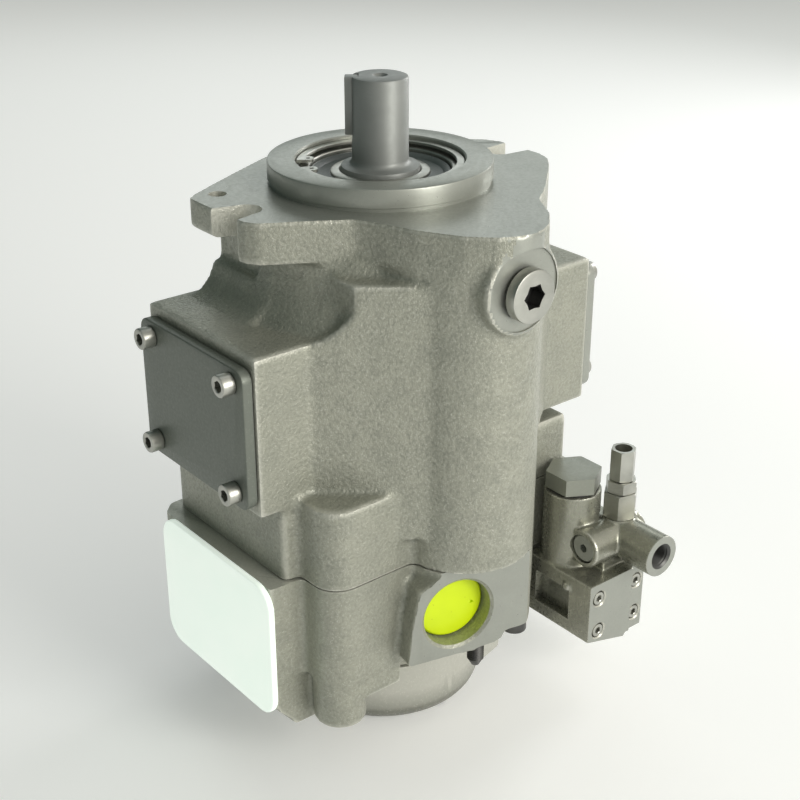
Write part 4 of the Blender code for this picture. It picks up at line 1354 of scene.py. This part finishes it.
@dataclass
class Studio:
    """Floor, lights and camera."""

    camera_place: Triple = (-0.48510, -0.61623, 0.56778)
    azimuth: float = -39.012
    pitch: float = 25.486
    lens: float = 64.74
    size: float = 16.0
    bright_side: Triple = (0.45, -0.85, 0.25)
    dim: Triple = (0.085, 0.12, 0.11)
    bright: Triple = (0.95, 0.93, 0.86)

    def lamp(self, name: str, place: Triple, target: Triple, energy: float, size: Point,
             colour: Triple = (1, 1, 1)) -> None:
        """Add a soft rectangular light.

        Args:
            name: name of the light.
            place: where it stands, in metres.
            target: point that it faces.
            energy: power in watts.
            size: width and height in metres.
            colour: light colour.
        """
        deselect()
        bpy.ops.object.light_add(type='AREA', location=place)
        light = bpy.context.object
        light.name = name
        light.data.shape = 'RECTANGLE'
        light.data.size, light.data.size_y = size
        light.data.energy = energy
        light.data.color = colour
        light.rotation_euler = (Vector(place) - Vector(target)).to_track_quat('Z', 'Y').to_euler()

    def build(self) -> None:
        """Build the stage."""
        deselect()
        bpy.ops.mesh.primitive_plane_add(size=self.size, location=(0, 0, -0.0002))
        floor = bpy.context.object
        floor.name = "floor"
        paper = Nodes("pale_floor")
        floor.data.materials.append(paper.finish((0.90, 0.90, 0.895), 0.9, 0.0))
        paper.shader.inputs["Emission Color"].default_value = (1.0, 1.0, 0.995, 1.0)
        paper.shader.inputs["Emission Strength"].default_value = 0.17
        world = bpy.data.worlds.new("studio")
        world.use_nodes = True
        tree = world.node_tree
        background = tree.nodes["Background"]
        where = tree.nodes.new("ShaderNodeTexCoord").outputs["Generated"]
        toward = tree.nodes.new("ShaderNodeVectorMath")
        toward.operation = 'DOT_PRODUCT'
        toward.inputs[1].default_value = self.bright_side
        tree.links.new(where, toward.inputs[0])
        ramp = tree.nodes.new("ShaderNodeValToRGB")
        ramp.color_ramp.elements[0].position = 0.0
        ramp.color_ramp.elements[0].color = (*self.dim, 1.0)
        ramp.color_ramp.elements[1].position = 0.85
        ramp.color_ramp.elements[1].color = (*self.bright, 1.0)
        tree.links.new(toward.outputs["Value"], ramp.inputs[0])
        tree.links.new(ramp.outputs[0], background.inputs["Color"])
        background.inputs["Strength"].default_value = 1.0
        bpy.context.scene.world = world
        self.lamp("key_light", (0.30, -1.60, 0.80), (0.0, 0.0, 0.2), 14.0, (0.7, 0.9), (1.0, 0.985, 0.925))
        self.lamp("top_light", (0.2, 0.4, 1.9), (0.0, 0.0, 0.2), 1.5, (1.2, 0.8))
        self.lamp("rim_light", (1.7, 0.15, 0.75), (0.0, 0.0, 0.2), 10.0, (0.5, 0.8))
        self.lamp("back_panel", (1.3, 1.55, 1.15), (0.0, 0.0, 0.3), 6.5, (1.8, 0.9), (0.97, 1.0, 0.99))
        a, p = math.radians(self.azimuth), math.radians(self.pitch)
        back = Vector((math.sin(a) * math.cos(p), -math.cos(a) * math.cos(p), math.sin(p)))
        bpy.ops.object.camera_add(location=self.camera_place)
        camera = bpy.context.object
        camera.name = "camera"
        camera.rotation_euler = back.to_track_quat('Z', 'Y').to_euler()
        camera.data.lens = self.lens
        camera.data.sensor_width = 36.0
        bpy.context.scene.camera = camera
        bpy.context.scene.view_settings.view_transform = 'Standard'


def main() -> None:
    """Build every sub-assembly in order."""
    logging.basicConfig(level=logging.INFO, format="%(name)s %(message)s")
    block = PortBlock()
    InnerParts().build()
    HousingCasting().build()
    block.build()
    RearCover().build()
    TrunnionCovers().build()
    ShippingCovers().build(block)
    DrainPlug().build()
    ClampStud().build()
    DriveShaft().build()
    FrontSeal().build()
    CompensatorValve().build()
    HousingBolts().build()
    Studio().build()
    deselect()


if __name__ == "__main__":
    main()
